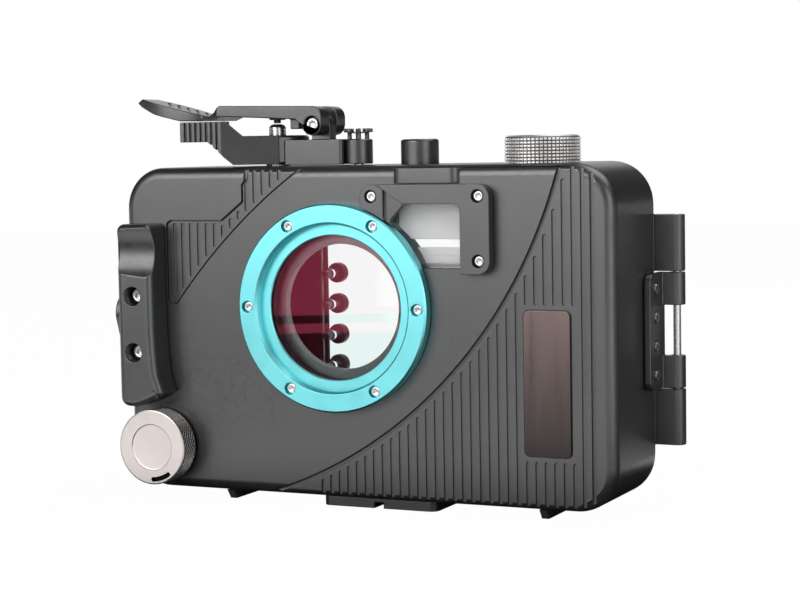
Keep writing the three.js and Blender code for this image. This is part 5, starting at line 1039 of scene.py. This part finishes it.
# Flash window and its frame
def flash_frame():
    low, high = node_box("flash_frame")
    front, back = low.y, high.y
    bm = round_block(Y, low, high, FRAME_CORNER, 10)
    far = 2 * shell_high.z
    opening = round_block(
        Y, (-far, front - OVERRUN, -far), (FLASH_HIGH[0], back + OVERRUN, FLASH_HIGH[1]), FLASH_CORNER,
    )
    keep = plate(
        Y,
        [
            (low.x - OVERRUN, high.z + OVERRUN),
            (low.x - OVERRUN, 0),
            FRAME_STEP_LOW,
            (FRAME_STEP_RIGHT, FLASH_HIGH[1]),
            (FRAME_STEP_RIGHT, high.z + OVERRUN),
        ],
        front - 2 * OVERRUN,
        back + 2 * OVERRUN,
    )
    lowered = [
        (low.x - OVERRUN, high.z + OVERRUN),
        (low.x - OVERRUN, 0),
        (FRAME_STEP_RIGHT, 0),
        (FRAME_STEP_RIGHT, FLASH_HIGH[1]),
        (FRAME_RIDGE_X, high.z),
        (FRAME_RIDGE_X, high.z + OVERRUN),
    ]
    step_outline = plate(Y, lowered, front - OVERRUN, front + FRAME_STEP_DEPTH)
    step_box = block((FRAME_STEP_LEFT, front - 2 * OVERRUN, 0), (high.x, back, high.z + 2 * OVERRUN))
    bores, shanks = screw_holes(FRAME_HOLES, front)
    bm = cut(
        bm,
        cut(opening, keep),
        rod(Y, FRAME_RING_RADIUS, (0, 0), front - OVERRUN, back + OVERRUN, 144),
        plate(Y, lowered, front - OVERRUN, front + FRAME_LOBE_DROP),
        shared(step_outline, step_box),
        bores,
        shanks,
    )
    softened(bm, 0.22, 30, 3)
    return piece("flash_frame_detailed", bm, "housing", CASE_BLACK)


def flash_glass():
    bm = flash_plate(PANE_MARGIN, FIT_GAP, FIT_GAP + PANE_THICKNESS)
    softened(bm, 0.1)
    return piece("flash_glass_detailed", bm, "housing", PANE)


def flash_diffuser():
    """Frosted plate behind the pane, with its slot and a fold below it."""
    bm = softened(copied("flash_diffuser"), 0.25, 35, 3)
    low, high = node_box("flash_diffuser")
    fold = block(
        (low.x - OVERRUN, low.y - OVERRUN, DIFFUSER_FOLD),
        (high.x + OVERRUN, low.y + DIFFUSER_FOLD_DEPTH, DIFFUSER_FOLD + DIFFUSER_FOLD_WIDTH),
    )
    return piece("flash_diffuser_detailed", cut(bm, fold), "housing", FROSTED)


flash_frame()
flash_glass()
flash_diffuser()
face_screws("flash_frame_screw", FRAME_HOLES, node_box("flash_frame")[0].y)


# Badge plate, bare
def badge_plate():
    low, high = node_box("badge_plate")
    bm = round_block(Y, low, high, BADGE_CORNER - FIT_GAP, 8)
    softened(bm, 0.12, 30, 2)
    return piece("badge_plate_detailed", bm, "housing", BADGE)


badge_plate()


# Grip
def grip():
    low, high = node_box("grip")
    front, back = low.y, high.y
    right = high.x
    head = high.z - GRIP_HEAD_ROUND
    foot = [(x, low.z + rise) for x, rise in GRIP_FOOT_BOW]
    outline = [
        *arc((low.x + GRIP_FOOT_ROUND, low.z + GRIP_FOOT_RISE), GRIP_FOOT_ROUND, 180, 262, 8),
        *bow(*foot, (right, GRIP_SIDE_LOW), 8),
        *bow(*GRIP_SIDE_BOW, 8),
        (GRIP_HEAD_RIGHT + GRIP_HEAD_ROUND, head),
        *arc((GRIP_HEAD_RIGHT, head), GRIP_HEAD_ROUND, 10, 90, 6),
        *arc((low.x + GRIP_HEAD_ROUND, head), GRIP_HEAD_ROUND, 90, 180, 7),
    ]
    bm = plate(Y, outline, front, back)
    rounded(bm, edges_on(bm, Y, front), GRIP_ROUND, 8)
    reach = 4 * OVERRUN
    scallop_centre = (front + SCALLOP_DEPTH - SCALLOP_RADIUS, SCALLOP_HEIGHT)
    scallop = rod(X, SCALLOP_RADIUS, scallop_centre, low.x - reach, right + reach, 128)
    bmesh.ops.rotate(
        scallop, cent=((low.x + right) / 2, front, SCALLOP_HEIGHT),
        matrix=Matrix.Rotation(math.radians(SCALLOP_TURN), 3, "Z"), verts=scallop.verts,
    )
    floor = front + GRIP_HEAD_SUNK + GRIP_SCREW_HEIGHT + FIT_GAP
    holes = GRIP_HOLES.values()
    bores = [rod(Y, GRIP_BORE, place, front - OVERRUN, floor) for place in holes]
    shanks = [rod(Y, GRIP_SHANK_BORE, place, floor - FIT_GAP, OVERRUN, 24) for place in holes]
    bm = cut(bm, scallop, gathered(bores), gathered(shanks))
    bmesh.ops.remove_doubles(bm, verts=bm.verts, dist=GRIP_MERGE)
    softened(bm, GRIP_SOFTNESS, 40, 3)
    piece("grip_detailed", bm, "housing", CASE_BLACK)


def grip_screws():
    head = node_box("grip")[0].y + GRIP_HEAD_SUNK
    end = FRONT_WALL - OVERRUN - FIT_GAP
    for name, place in GRIP_HOLES.items():
        bm = socket_screw(Y, place, head, GRIP_SCREW_RADIUS, GRIP_SCREW_HEIGHT, GRIP_SCREW_SHANK, end)
        bm = cut(bm, hex_socket(Y, place, head, GRIP_SCREW_RADIUS, GRIP_SCREW_HEIGHT))
        piece(f"grip_screw_{name}_detailed", bm, "housing", STEEL)


grip()
grip_screws()


# Knurled pieces
def knurled_drum(radius, low, high, columns, rows, depth, chamfer):
    """Upright drum whose side is cut into rows of small square studs."""
    bm = bmesh.new()
    base = radius - depth
    bmesh.ops.create_cone(
        bm, cap_ends=False, segments=columns, radius1=base, radius2=base, depth=high - low - 2 * chamfer,
    )
    bmesh.ops.translate(bm, vec=(0, 0, (low + high) / 2), verts=bm.verts)
    bmesh.ops.subdivide_edges(bm, edges=edges_along(bm, Z), cuts=rows - 1, use_grid_fill=False)
    for place, grow in ((low, 1), (high, -1)):
        rim = [e for e in bm.edges if e.is_boundary and abs(e.verts[0].co.z - place) < chamfer + TINY]
        bands = [(1.0, 0.35), (1 - chamfer / base, 0.65)]
        for share, drop in bands:
            grown = bmesh.ops.extrude_edge_only(bm, edges=rim)["geom"]
            rim = [g for g in grown if isinstance(g, bmesh.types.BMEdge)]
            verts = [g for g in grown if isinstance(g, bmesh.types.BMVert)]
            bmesh.ops.translate(bm, vec=(0, 0, -grow * chamfer * drop), verts=verts)
            bmesh.ops.scale(bm, vec=(share, share, 1), verts=verts)
        bmesh.ops.contextual_create(bm, geom=rim)
    bottom, top = low + chamfer - TINY, high - chamfer + TINY
    side = [f for f in bm.faces if len(f.verts) == 4 and bottom < f.calc_center_median().z < top]
    bmesh.ops.recalc_face_normals(bm, faces=bm.faces)
    groove = STUD_GROOVE_SHARE * 2 * math.pi * base / columns
    bmesh.ops.inset_individual(bm, faces=side, thickness=groove, depth=depth, use_even_offset=True)
    return bm


def diamond_drum(radius, low, high, columns, rows, depth, rim):
    """Upright drum whose side is knurled in crossing lines between two plain rims."""
    bm = bmesh.new()
    rings = []
    for r in range(rows + 1):
        height = low + rim + (high - low - 2 * rim) * r / rows
        turns = [2 * math.pi * (c + 0.5 * (r % 2)) / columns for c in range(columns)]
        rings.append([bm.verts.new((radius * math.cos(t), radius * math.sin(t), height)) for t in turns])
    points = []
    for r in range(rows - 1):
        for c in range(columns):
            left, right = (c - 1, c) if r % 2 == 0 else (c, (c + 1) % columns)
            low_ring, ring, high_ring = rings[r : r + 3]
            points.append(bm.faces.new((low_ring[c], ring[right], high_ring[c], ring[left])))
    for c in range(columns):
        after = (c + 1) % columns
        bm.faces.new((rings[0][c], rings[0][after], rings[1][c]))
        bm.faces.new((rings[rows][after], rings[rows][c], rings[rows - 1][c]))
    for first, steps in ((rings[0], (-0.5, -0.5)), (rings[rows], (0.5, 0.5))):
        ends = set(first)
        edge = [e for e in bm.edges if e.is_boundary and set(e.verts) <= ends]
        for share, step in zip((1, 1 - 0.9 * rim / radius), steps):
            grown = bmesh.ops.extrude_edge_only(bm, edges=edge)["geom"]
            edge = [g for g in grown if isinstance(g, bmesh.types.BMEdge)]
            verts = [g for g in grown if isinstance(g, bmesh.types.BMVert)]
            bmesh.ops.translate(bm, vec=(0, 0, step * rim), verts=verts)
            bmesh.ops.scale(bm, vec=(share, share, 1), verts=verts)
        bmesh.ops.contextual_create(bm, geom=edge)
    bmesh.ops.recalc_face_normals(bm, faces=bm.faces)
    bmesh.ops.poke(bm, faces=points, offset=-depth)
    return bm


def mode_dial():
    low, high = node_box("mode_dial")
    radius = (high.x - low.x) / 2
    bm = knurled_drum(radius, low.z, high.z, DIAL_COLUMNS, DIAL_ROWS, KNURL_DEPTH, DIAL_ROUND)
    bmesh.ops.translate(bm, vec=(*DIAL_CENTRE, 0), verts=bm.verts)
    socket = rod(Z, DIAL_SOCKET_RADIUS, DIAL_CENTRE, low.z - OVERRUN, low.z + DIAL_SOCKET_DEPTH)
    bm = cut(bm, socket)
    piece("mode_dial_detailed", bm, "dial", DIAL_SILVER, sharp=25)


def cap_face(height):
    """Cutter for the shallow dish in the cap's face."""
    floor = height - CAP_FACE_DEPTH
    mouth = CAP_FACE_RADIUS + 2 * CAP_FACE_ROUND
    profile = [
        (0, floor),
        (CAP_FACE_RADIUS, floor),
        (CAP_FACE_RADIUS + CAP_FACE_ROUND, floor + CAP_FACE_MOUTH),
        (mouth, height + CAP_FACE_MOUTH),
        (mouth, height + OVERRUN),
        (0, height + OVERRUN),
    ]
    return turned(Z, profile, (0, 0), 96)


def cap_slot(height):
    """Cutter for the curved slot near the cap's edge, with round ends."""
    half = CAP_SLOT_WIDTH / 2
    first, last = CAP_SLOT_TURNS
    start, end = (arc((0, 0), CAP_SLOT_RADIUS, turn, turn, 1)[0] for turn in CAP_SLOT_TURNS)
    outline = arc((0, 0), CAP_SLOT_RADIUS + half, first, last, 16)
    outline += arc(end, half, last, last + 180, 6)[1:-1]
    outline += arc((0, 0), CAP_SLOT_RADIUS - half, last, first, 16)
    outline += arc(start, half, first + 180, first + 360, 6)[1:-1]
    return plate(Z, outline, height - CAP_SLOT_DEPTH, height + OVERRUN)


def release_cap():
    low, high = node_box("release_cap")
    height = high.y - low.y
    radius = (high.x - low.x) / 2
    bm = diamond_drum(radius, 0, height, CAP_COLUMNS, CAP_ROWS, CAP_KNURL_DEPTH, CAP_RIM)
    hollow = rod(Z, CAP_HOLLOW_RADIUS, (0, 0), -OVERRUN, CAP_HOLLOW_DEPTH, 64)
    bm = cut(bm, cap_face(height), cap_slot(height), hollow)
    bmesh.ops.rotate(bm, cent=(0, 0, 0), matrix=Matrix.Rotation(math.pi / 2, 3, "X"), verts=bm.verts)
    bmesh.ops.translate(bm, vec=(RELEASE_CENTRE[0], high.y, RELEASE_CENTRE[1]), verts=bm.verts)
    piece("release_cap_detailed", bm, "release_cap", CAP_SILVER, sharp=25)


mode_dial()
release_cap()


# Controls on top
def power_button():
    low, high = node_box("power_button")
    base = shell_high.z - POWER_SUNK
    radius = (high.x - low.x) / 2
    profile = [
        (0, low.z),
        (POWER_STEM_RADIUS, low.z),
        (POWER_STEM_RADIUS, base),
        (radius, base),
        (radius, high.z - POWER_ROUND),
        *arc((radius - POWER_ROUND, high.z - POWER_ROUND), POWER_ROUND, 10, 80, 5),
        (radius - POWER_ROUND, high.z),
        (0, high.z),
    ]
    bm = turned(Z, profile, POWER_CENTRE)
    piece("power_button_detailed", bm, "power", CONTROL_BLACK)


def selector():
    """Knob with a small disc over it, carried by posts with a stud on each."""
    foot = node_box("selector_knob")[0].z
    knob = [
        (0, foot),
        (SELECTOR_RADIUS - SELECTOR_FOOT_CHAMFER, foot),
        (SELECTOR_RADIUS, foot + SELECTOR_FOOT_CHAMFER),
        (SELECTOR_RADIUS, SELECTOR_TOP - SELECTOR_TOP_CHAMFER),
        (SELECTOR_RADIUS - SELECTOR_TOP_CHAMFER, SELECTOR_TOP),
        (0, SELECTOR_TOP),
    ]
    narrow, drop = SELECTOR_DISC_CHAMFER
    disc = [
        (0, SELECTOR_DISC_LOW),
        (SELECTOR_DISC_RADIUS - narrow, SELECTOR_DISC_LOW),
        (SELECTOR_DISC_RADIUS, SELECTOR_DISC_LOW + drop),
        (SELECTOR_DISC_RADIUS, SELECTOR_DISC_HIGH - drop),
        (SELECTOR_DISC_RADIUS - narrow, SELECTOR_DISC_HIGH),
        (0, SELECTOR_DISC_HIGH),
    ]
    shapes = [turned(Z, disc, SELECTOR_CENTRE, 48)]
    for i in range(POST_COUNT):
        turn = POST_FIRST_TURN + 360 / POST_COUNT * i
        place = arc(SELECTOR_CENTRE, POST_CIRCLE, turn, turn, 1)[0]
        shapes.append(rod(Z, POST_RADIUS, place, SELECTOR_TOP - POST_ROOT, POST_TOP, 20))
        stud = rod(X, STUD_RADIUS, (0, STUD_HEIGHT), *STUD_REACH, 20)
        about_z = Matrix.Rotation(math.radians(turn), 3, "Z")
        bmesh.ops.rotate(stud, cent=(0, 0, 0), matrix=about_z, verts=stud.verts)
        bmesh.ops.translate(stud, vec=(*SELECTOR_CENTRE, 0), verts=stud.verts)
        shapes.append(stud)
    bm = joined(turned(Z, knob, SELECTOR_CENTRE, 64), *shapes)
    softened(bm, 0.12, 40, 2)
    piece("selector_knob_detailed", bm, "selector", CONTROL_BLACK)


power_button()
selector()


# Pieces that keep their node's shape, with its edges rounded: their slot, finish and rounding
ROUNDED = {
    "zoom_lever": ("black_anodised", CONTROL_BLACK, 0.2),
    "shutter_lever": ("black_anodised", CONTROL_BLACK, 0.35),
    "lever_bracket": ("black_anodised", CONTROL_BLACK, 0.25),
    "tripod_block": ("black_anodised", CASE_BLACK, 0.3),
    "rail_left": ("black_plastic", RAIL_BLACK, 0.25),
    "rail_right": ("black_plastic", RAIL_BLACK, 0.25),
    "rear_door": ("black_anodised", CASE_BLACK, 0.3),
    "rear_window_frame": ("black_anodised", CASE_BLACK, 0.15),
    "rear_window": ("clear_window", REAR_PANE, 0.12),
    "hinge_leaf": ("black_anodised", CASE_BLACK, 0.3),
    "latch_lever": ("black_anodised", CONTROL_BLACK, 0.5),
    "latch_claw": ("steel", STEEL, 0.25),
    "camera_cradle": ("grey_plastic", CRADLE_GREY, 0.4),
    "leak_sensor": ("sensor_plastic", SENSOR_FOAM, 0.3),
    "door_button_1": ("black_plastic", BUTTON_BLACK, 0.5),
    "door_button_2": ("black_plastic", BUTTON_BLACK, 0.5),
    "door_button_3": ("black_plastic", BUTTON_BLACK, 0.5),
    "door_button_4": ("black_plastic", BUTTON_BLACK, 0.5),
    "shutter_plunger": ("steel", STEEL, 0.15),
    "shutter_adjuster": ("black_plastic", DARK_STEEL, 0.12),
    "latch_pin": ("steel", STEEL, 0.25),
}
bodies = frame["record"]["behaviour"]["bodies"]
body_of = {node: body for body, nodes in bodies.items() for node in nodes}
for node, (slot, finish, width) in ROUNDED.items():
    piece(f"{node}_detailed", softened(copied(node), width, 35, 3), body_of[node], finish)


def pivot_screw():
    low, high = node_box("shutter_pivot_screw")
    radius = (high.x - low.x) / 2
    bm = socket_screw(Y, PIVOT, low.y, radius, PIVOT_HEAD_HEIGHT, PIVOT_SHANK_RADIUS, high.y)
    bm = cut(bm, hex_socket(Y, PIVOT, low.y, radius, PIVOT_HEAD_HEIGHT))
    piece("shutter_pivot_screw_detailed", bm, "housing", STEEL)


def hinge_screws():
    for i in range(4):
        node = f"hinge_screw_{i + 1}"
        low, high = node_box(node)
        centre = ((low.y + high.y) / 2, (low.z + high.z) / 2)
        radius = (high.y - low.y) / 2
        bm = socket_screw(X, centre, high.x, radius, HINGE_SCREW_HEAD_HEIGHT, SHANK_RADIUS, low.x, -1)
        bm = cut(bm, hex_socket(X, centre, high.x, radius, HINGE_SCREW_HEAD_HEIGHT, -1))
        piece(f"{node}_detailed", bm, "housing", RUBBED_STEEL)


def hinge_pin():
    low, high = node_box("hinge_pin")
    radius = (high.x - low.x) / 2
    profile = [
        (0, low.z),
        (radius - HINGE_PIN_ROUND, low.z),
        (radius, low.z + HINGE_PIN_ROUND),
        (radius, high.z - HINGE_PIN_ROUND),
        (radius - HINGE_PIN_ROUND, high.z),
        (0, high.z),
    ]
    piece("hinge_pin_detailed", turned(Z, profile, HINGE, 48), "housing", STEEL)


pivot_screw()
hinge_screws()
hinge_pin()

# Hidden nodes that keep their own mesh and take a finish
KEPT = {
    "release_spindle": STEEL, "release_seat": RUBBER, "zoom_shaft": STEEL, "selector_shaft": STEEL,
    "mode_dial_shaft": STEEL, "main_o_ring": RUBBER,
}
for node, finish in KEPT.items():
    mesh = frame["nodes"][node].data
    mesh.materials.clear()
    mesh.materials.append(finish)


# Floor, backdrop, lights and camera
CAMERA_RAY, GLASS_RAY, METAL_RAY = "Is Camera Ray", "Is Transmission Ray", "Is Glossy Ray"


def surface_seen_white(name, share, rays, color=0.85, dark_in_metal=False):
    """Surface that shows white to some rays, and takes light and shadow with the rest of its share."""
    made = bpy.data.materials.new(name)
    made.use_nodes = True
    nodes, links = made.node_tree.nodes, made.node_tree.links
    shader = nodes["Principled BSDF"]
    shader.inputs["Base Color"].default_value = (color, color, color, 1)
    shader.inputs["Roughness"].default_value = 0.9
    glow = nodes.new("ShaderNodeEmission")
    glow.inputs["Strength"].default_value = 1
    path = nodes.new("ShaderNodeLightPath")
    seen = path.outputs[rays[0]]
    for ray in rays[1:]:
        either = nodes.new("ShaderNodeMath")
        either.operation = "MAXIMUM"
        links.new(seen, either.inputs[0])
        links.new(path.outputs[ray], either.inputs[1])
        seen = either.outputs[0]
    part = nodes.new("ShaderNodeMath")
    part.operation = "MULTIPLY"
    part.inputs[1].default_value = share
    links.new(seen, part.inputs[0])
    mix = nodes.new("ShaderNodeMixShader")
    links.new(part.outputs[0], mix.inputs["Fac"])
    links.new(shader.outputs[0], mix.inputs[1])
    links.new(glow.outputs[0], mix.inputs[2])
    last = mix
    if dark_in_metal:
        dim = nodes.new("ShaderNodeBsdfDiffuse")
        dim.inputs["Color"].default_value = (0.02, 0.02, 0.02, 1)
        last = nodes.new("ShaderNodeMixShader")
        links.new(path.outputs[METAL_RAY], last.inputs["Fac"])
        links.new(mix.outputs[0], last.inputs[1])
        links.new(dim.outputs[0], last.inputs[2])
    links.new(last.outputs[0], nodes["Material Output"].inputs["Surface"])
    return made


ALL_RAYS = (CAMERA_RAY, GLASS_RAY, METAL_RAY)


def stage_sheet(name, bm, finish):
    mesh = bpy.data.meshes.new(name)
    bm.to_mesh(mesh)
    bm.free()
    mesh.materials.append(finish)
    made = bpy.data.objects.new(name, mesh)
    bpy.context.scene.collection.objects.link(made)
    return made


def sheet_facing(azimuth, distance, width, low, high):
    """Upright sheet at a distance, facing the object; azimuth as for the camera."""
    turn = math.radians(azimuth)
    out = Vector((math.sin(turn), -math.cos(turn), 0))
    side = Vector((math.cos(turn), math.sin(turn), 0))
    bm = bmesh.new()
    corners = [(-1, low), (1, low), (1, high), (-1, high)]
    verts = [bm.verts.new(out * distance + side * width / 2 * s + Vector((0, 0, z))) for s, z in corners]
    bm.faces.new(verts)
    return bm


def floor():
    bm = bmesh.new()
    bmesh.ops.create_grid(bm, x_segments=1, y_segments=1, size=6)
    bmesh.ops.translate(bm, vec=(0, 0, cad_low.z), verts=bm.verts)
    stage_sheet("floor", bm, surface_seen_white("floor_white", 0.985, ALL_RAYS))


def floor_card(name, azimuth, near, far, width, finish, lift=0.4):
    """Sheet lying on the floor, out to one side of the object."""
    turn = math.radians(azimuth)
    out = Vector((math.sin(turn), -math.cos(turn), 0))
    side = Vector((math.cos(turn), math.sin(turn), 0)) * width / 2
    height = Vector((0, 0, cad_low.z + lift * MM))
    bm = bmesh.new()
    corners = (out * near - side, out * near + side, out * far + side, out * far - side)
    bm.faces.new([bm.verts.new(corner + height) for corner in corners])
    stage_sheet(name, bm, finish)


def world():
    made = bpy.data.worlds.new("studio")
    bpy.context.scene.world = made
    made.use_nodes = True
    nodes, links = made.node_tree.nodes, made.node_tree.links
    path = nodes.new("ShaderNodeLightPath")
    seen = nodes.new("ShaderNodeMath")
    seen.operation = "ADD"
    seen.use_clamp = True
    links.new(path.outputs[CAMERA_RAY], seen.inputs[0])
    links.new(path.outputs[GLASS_RAY], seen.inputs[1])
    strength = nodes.new("ShaderNodeMapRange")
    strength.inputs["To Min"].default_value = 0.04
    strength.inputs["To Max"].default_value = 1
    links.new(seen.outputs[0], strength.inputs["Value"])
    links.new(strength.outputs["Result"], nodes["Background"].inputs["Strength"])
    nodes["Background"].inputs["Color"].default_value = (1, 1, 1, 1)


def soft_box(name, azimuth, elevation, distance, width, height, radiance):
    turn, rise = math.radians(azimuth), math.radians(elevation)
    out = Vector((math.sin(turn) * math.cos(rise), -math.cos(turn) * math.cos(rise), math.sin(rise)))
    lamp = bpy.data.lights.new(name, "AREA")
    lamp.shape = "RECTANGLE"
    lamp.size = width
    lamp.size_y = height
    lamp.energy = radiance * math.pi * width * height
    made = bpy.data.objects.new(name, lamp)
    bpy.context.scene.collection.objects.link(made)
    made.location = out * distance
    made.rotation_mode = "QUATERNION"
    made.rotation_quaternion = out.to_track_quat("Z", "Y")
    made.visible_camera = False


CAMERA_AZIMUTH = 25.082
CAMERA_ELEVATION = 4.453
CAMERA_ROLL = -1.015
CAMERA_DISTANCE = 0.603358
CAMERA_TARGET = Vector((0.021718, 0, 0.002719))
FOCAL_PIXELS = 1999.376
FRAME_PIXELS = 800
SENSOR_WIDTH = 36


def camera():
    a, e, r = (math.radians(v) for v in (CAMERA_AZIMUTH, CAMERA_ELEVATION, CAMERA_ROLL))
    back = Vector((math.sin(a) * math.cos(e), -math.cos(a) * math.cos(e), math.sin(e)))
    right = Vector((math.cos(a), math.sin(a), 0))
    up = back.cross(right)
    turned_right = math.cos(r) * right + math.sin(r) * up
    turned_up = -math.sin(r) * right + math.cos(r) * up
    lens = bpy.data.cameras.new("camera")
    lens.sensor_width = SENSOR_WIDTH
    lens.lens = FOCAL_PIXELS * SENSOR_WIDTH / FRAME_PIXELS
    lens.clip_start, lens.clip_end = 0.01, 30
    made = bpy.data.objects.new("camera", lens)
    bpy.context.scene.collection.objects.link(made)
    turn = Matrix((turned_right, turned_up, back)).transposed()
    made.matrix_world = Matrix.Translation(CAMERA_TARGET + back * CAMERA_DISTANCE) @ turn.to_4x4()
    bpy.context.scene.camera = made


floor()
dark_card = surface_seen_white("dark_card", 1, (CAMERA_RAY,), 0.02)
floor_card("card_front_left", -27, 0.16, 0.58, 0.8, dark_card)
floor_card("card_front_left_far", -27, 0.645, 0.706, 0.8, dark_card)
side_card = surface_seen_white("side_card", 1, (CAMERA_RAY, GLASS_RAY), 0.02)
floor_card("card_right", 145, 0.17, 1.8, 1.2, side_card)
under_card = surface_seen_white("under_card", 0.985, (CAMERA_RAY, GLASS_RAY), 0.85, True)
floor_card("card_under", -10, -0.10, 0.045, 0.4, under_card, 0.2)
backdrop_white = surface_seen_white("backdrop_white", 1, ALL_RAYS)
stage_sheet("backdrop", sheet_facing(205, 2.2, 1.5, cad_low.z, 2.0), backdrop_white)
world()
soft_box("front_left_box", -20, 23, 1.3, 1.2, 0.95, 3.1)
soft_box("right_box", 62, 12, 1.3, 0.75, 0.9, 1.6)
soft_box("top_box", 120, 64, 1.2, 1.1, 1.0, 2.2)
camera()

bpy.context.scene.view_settings.view_transform = "Standard"
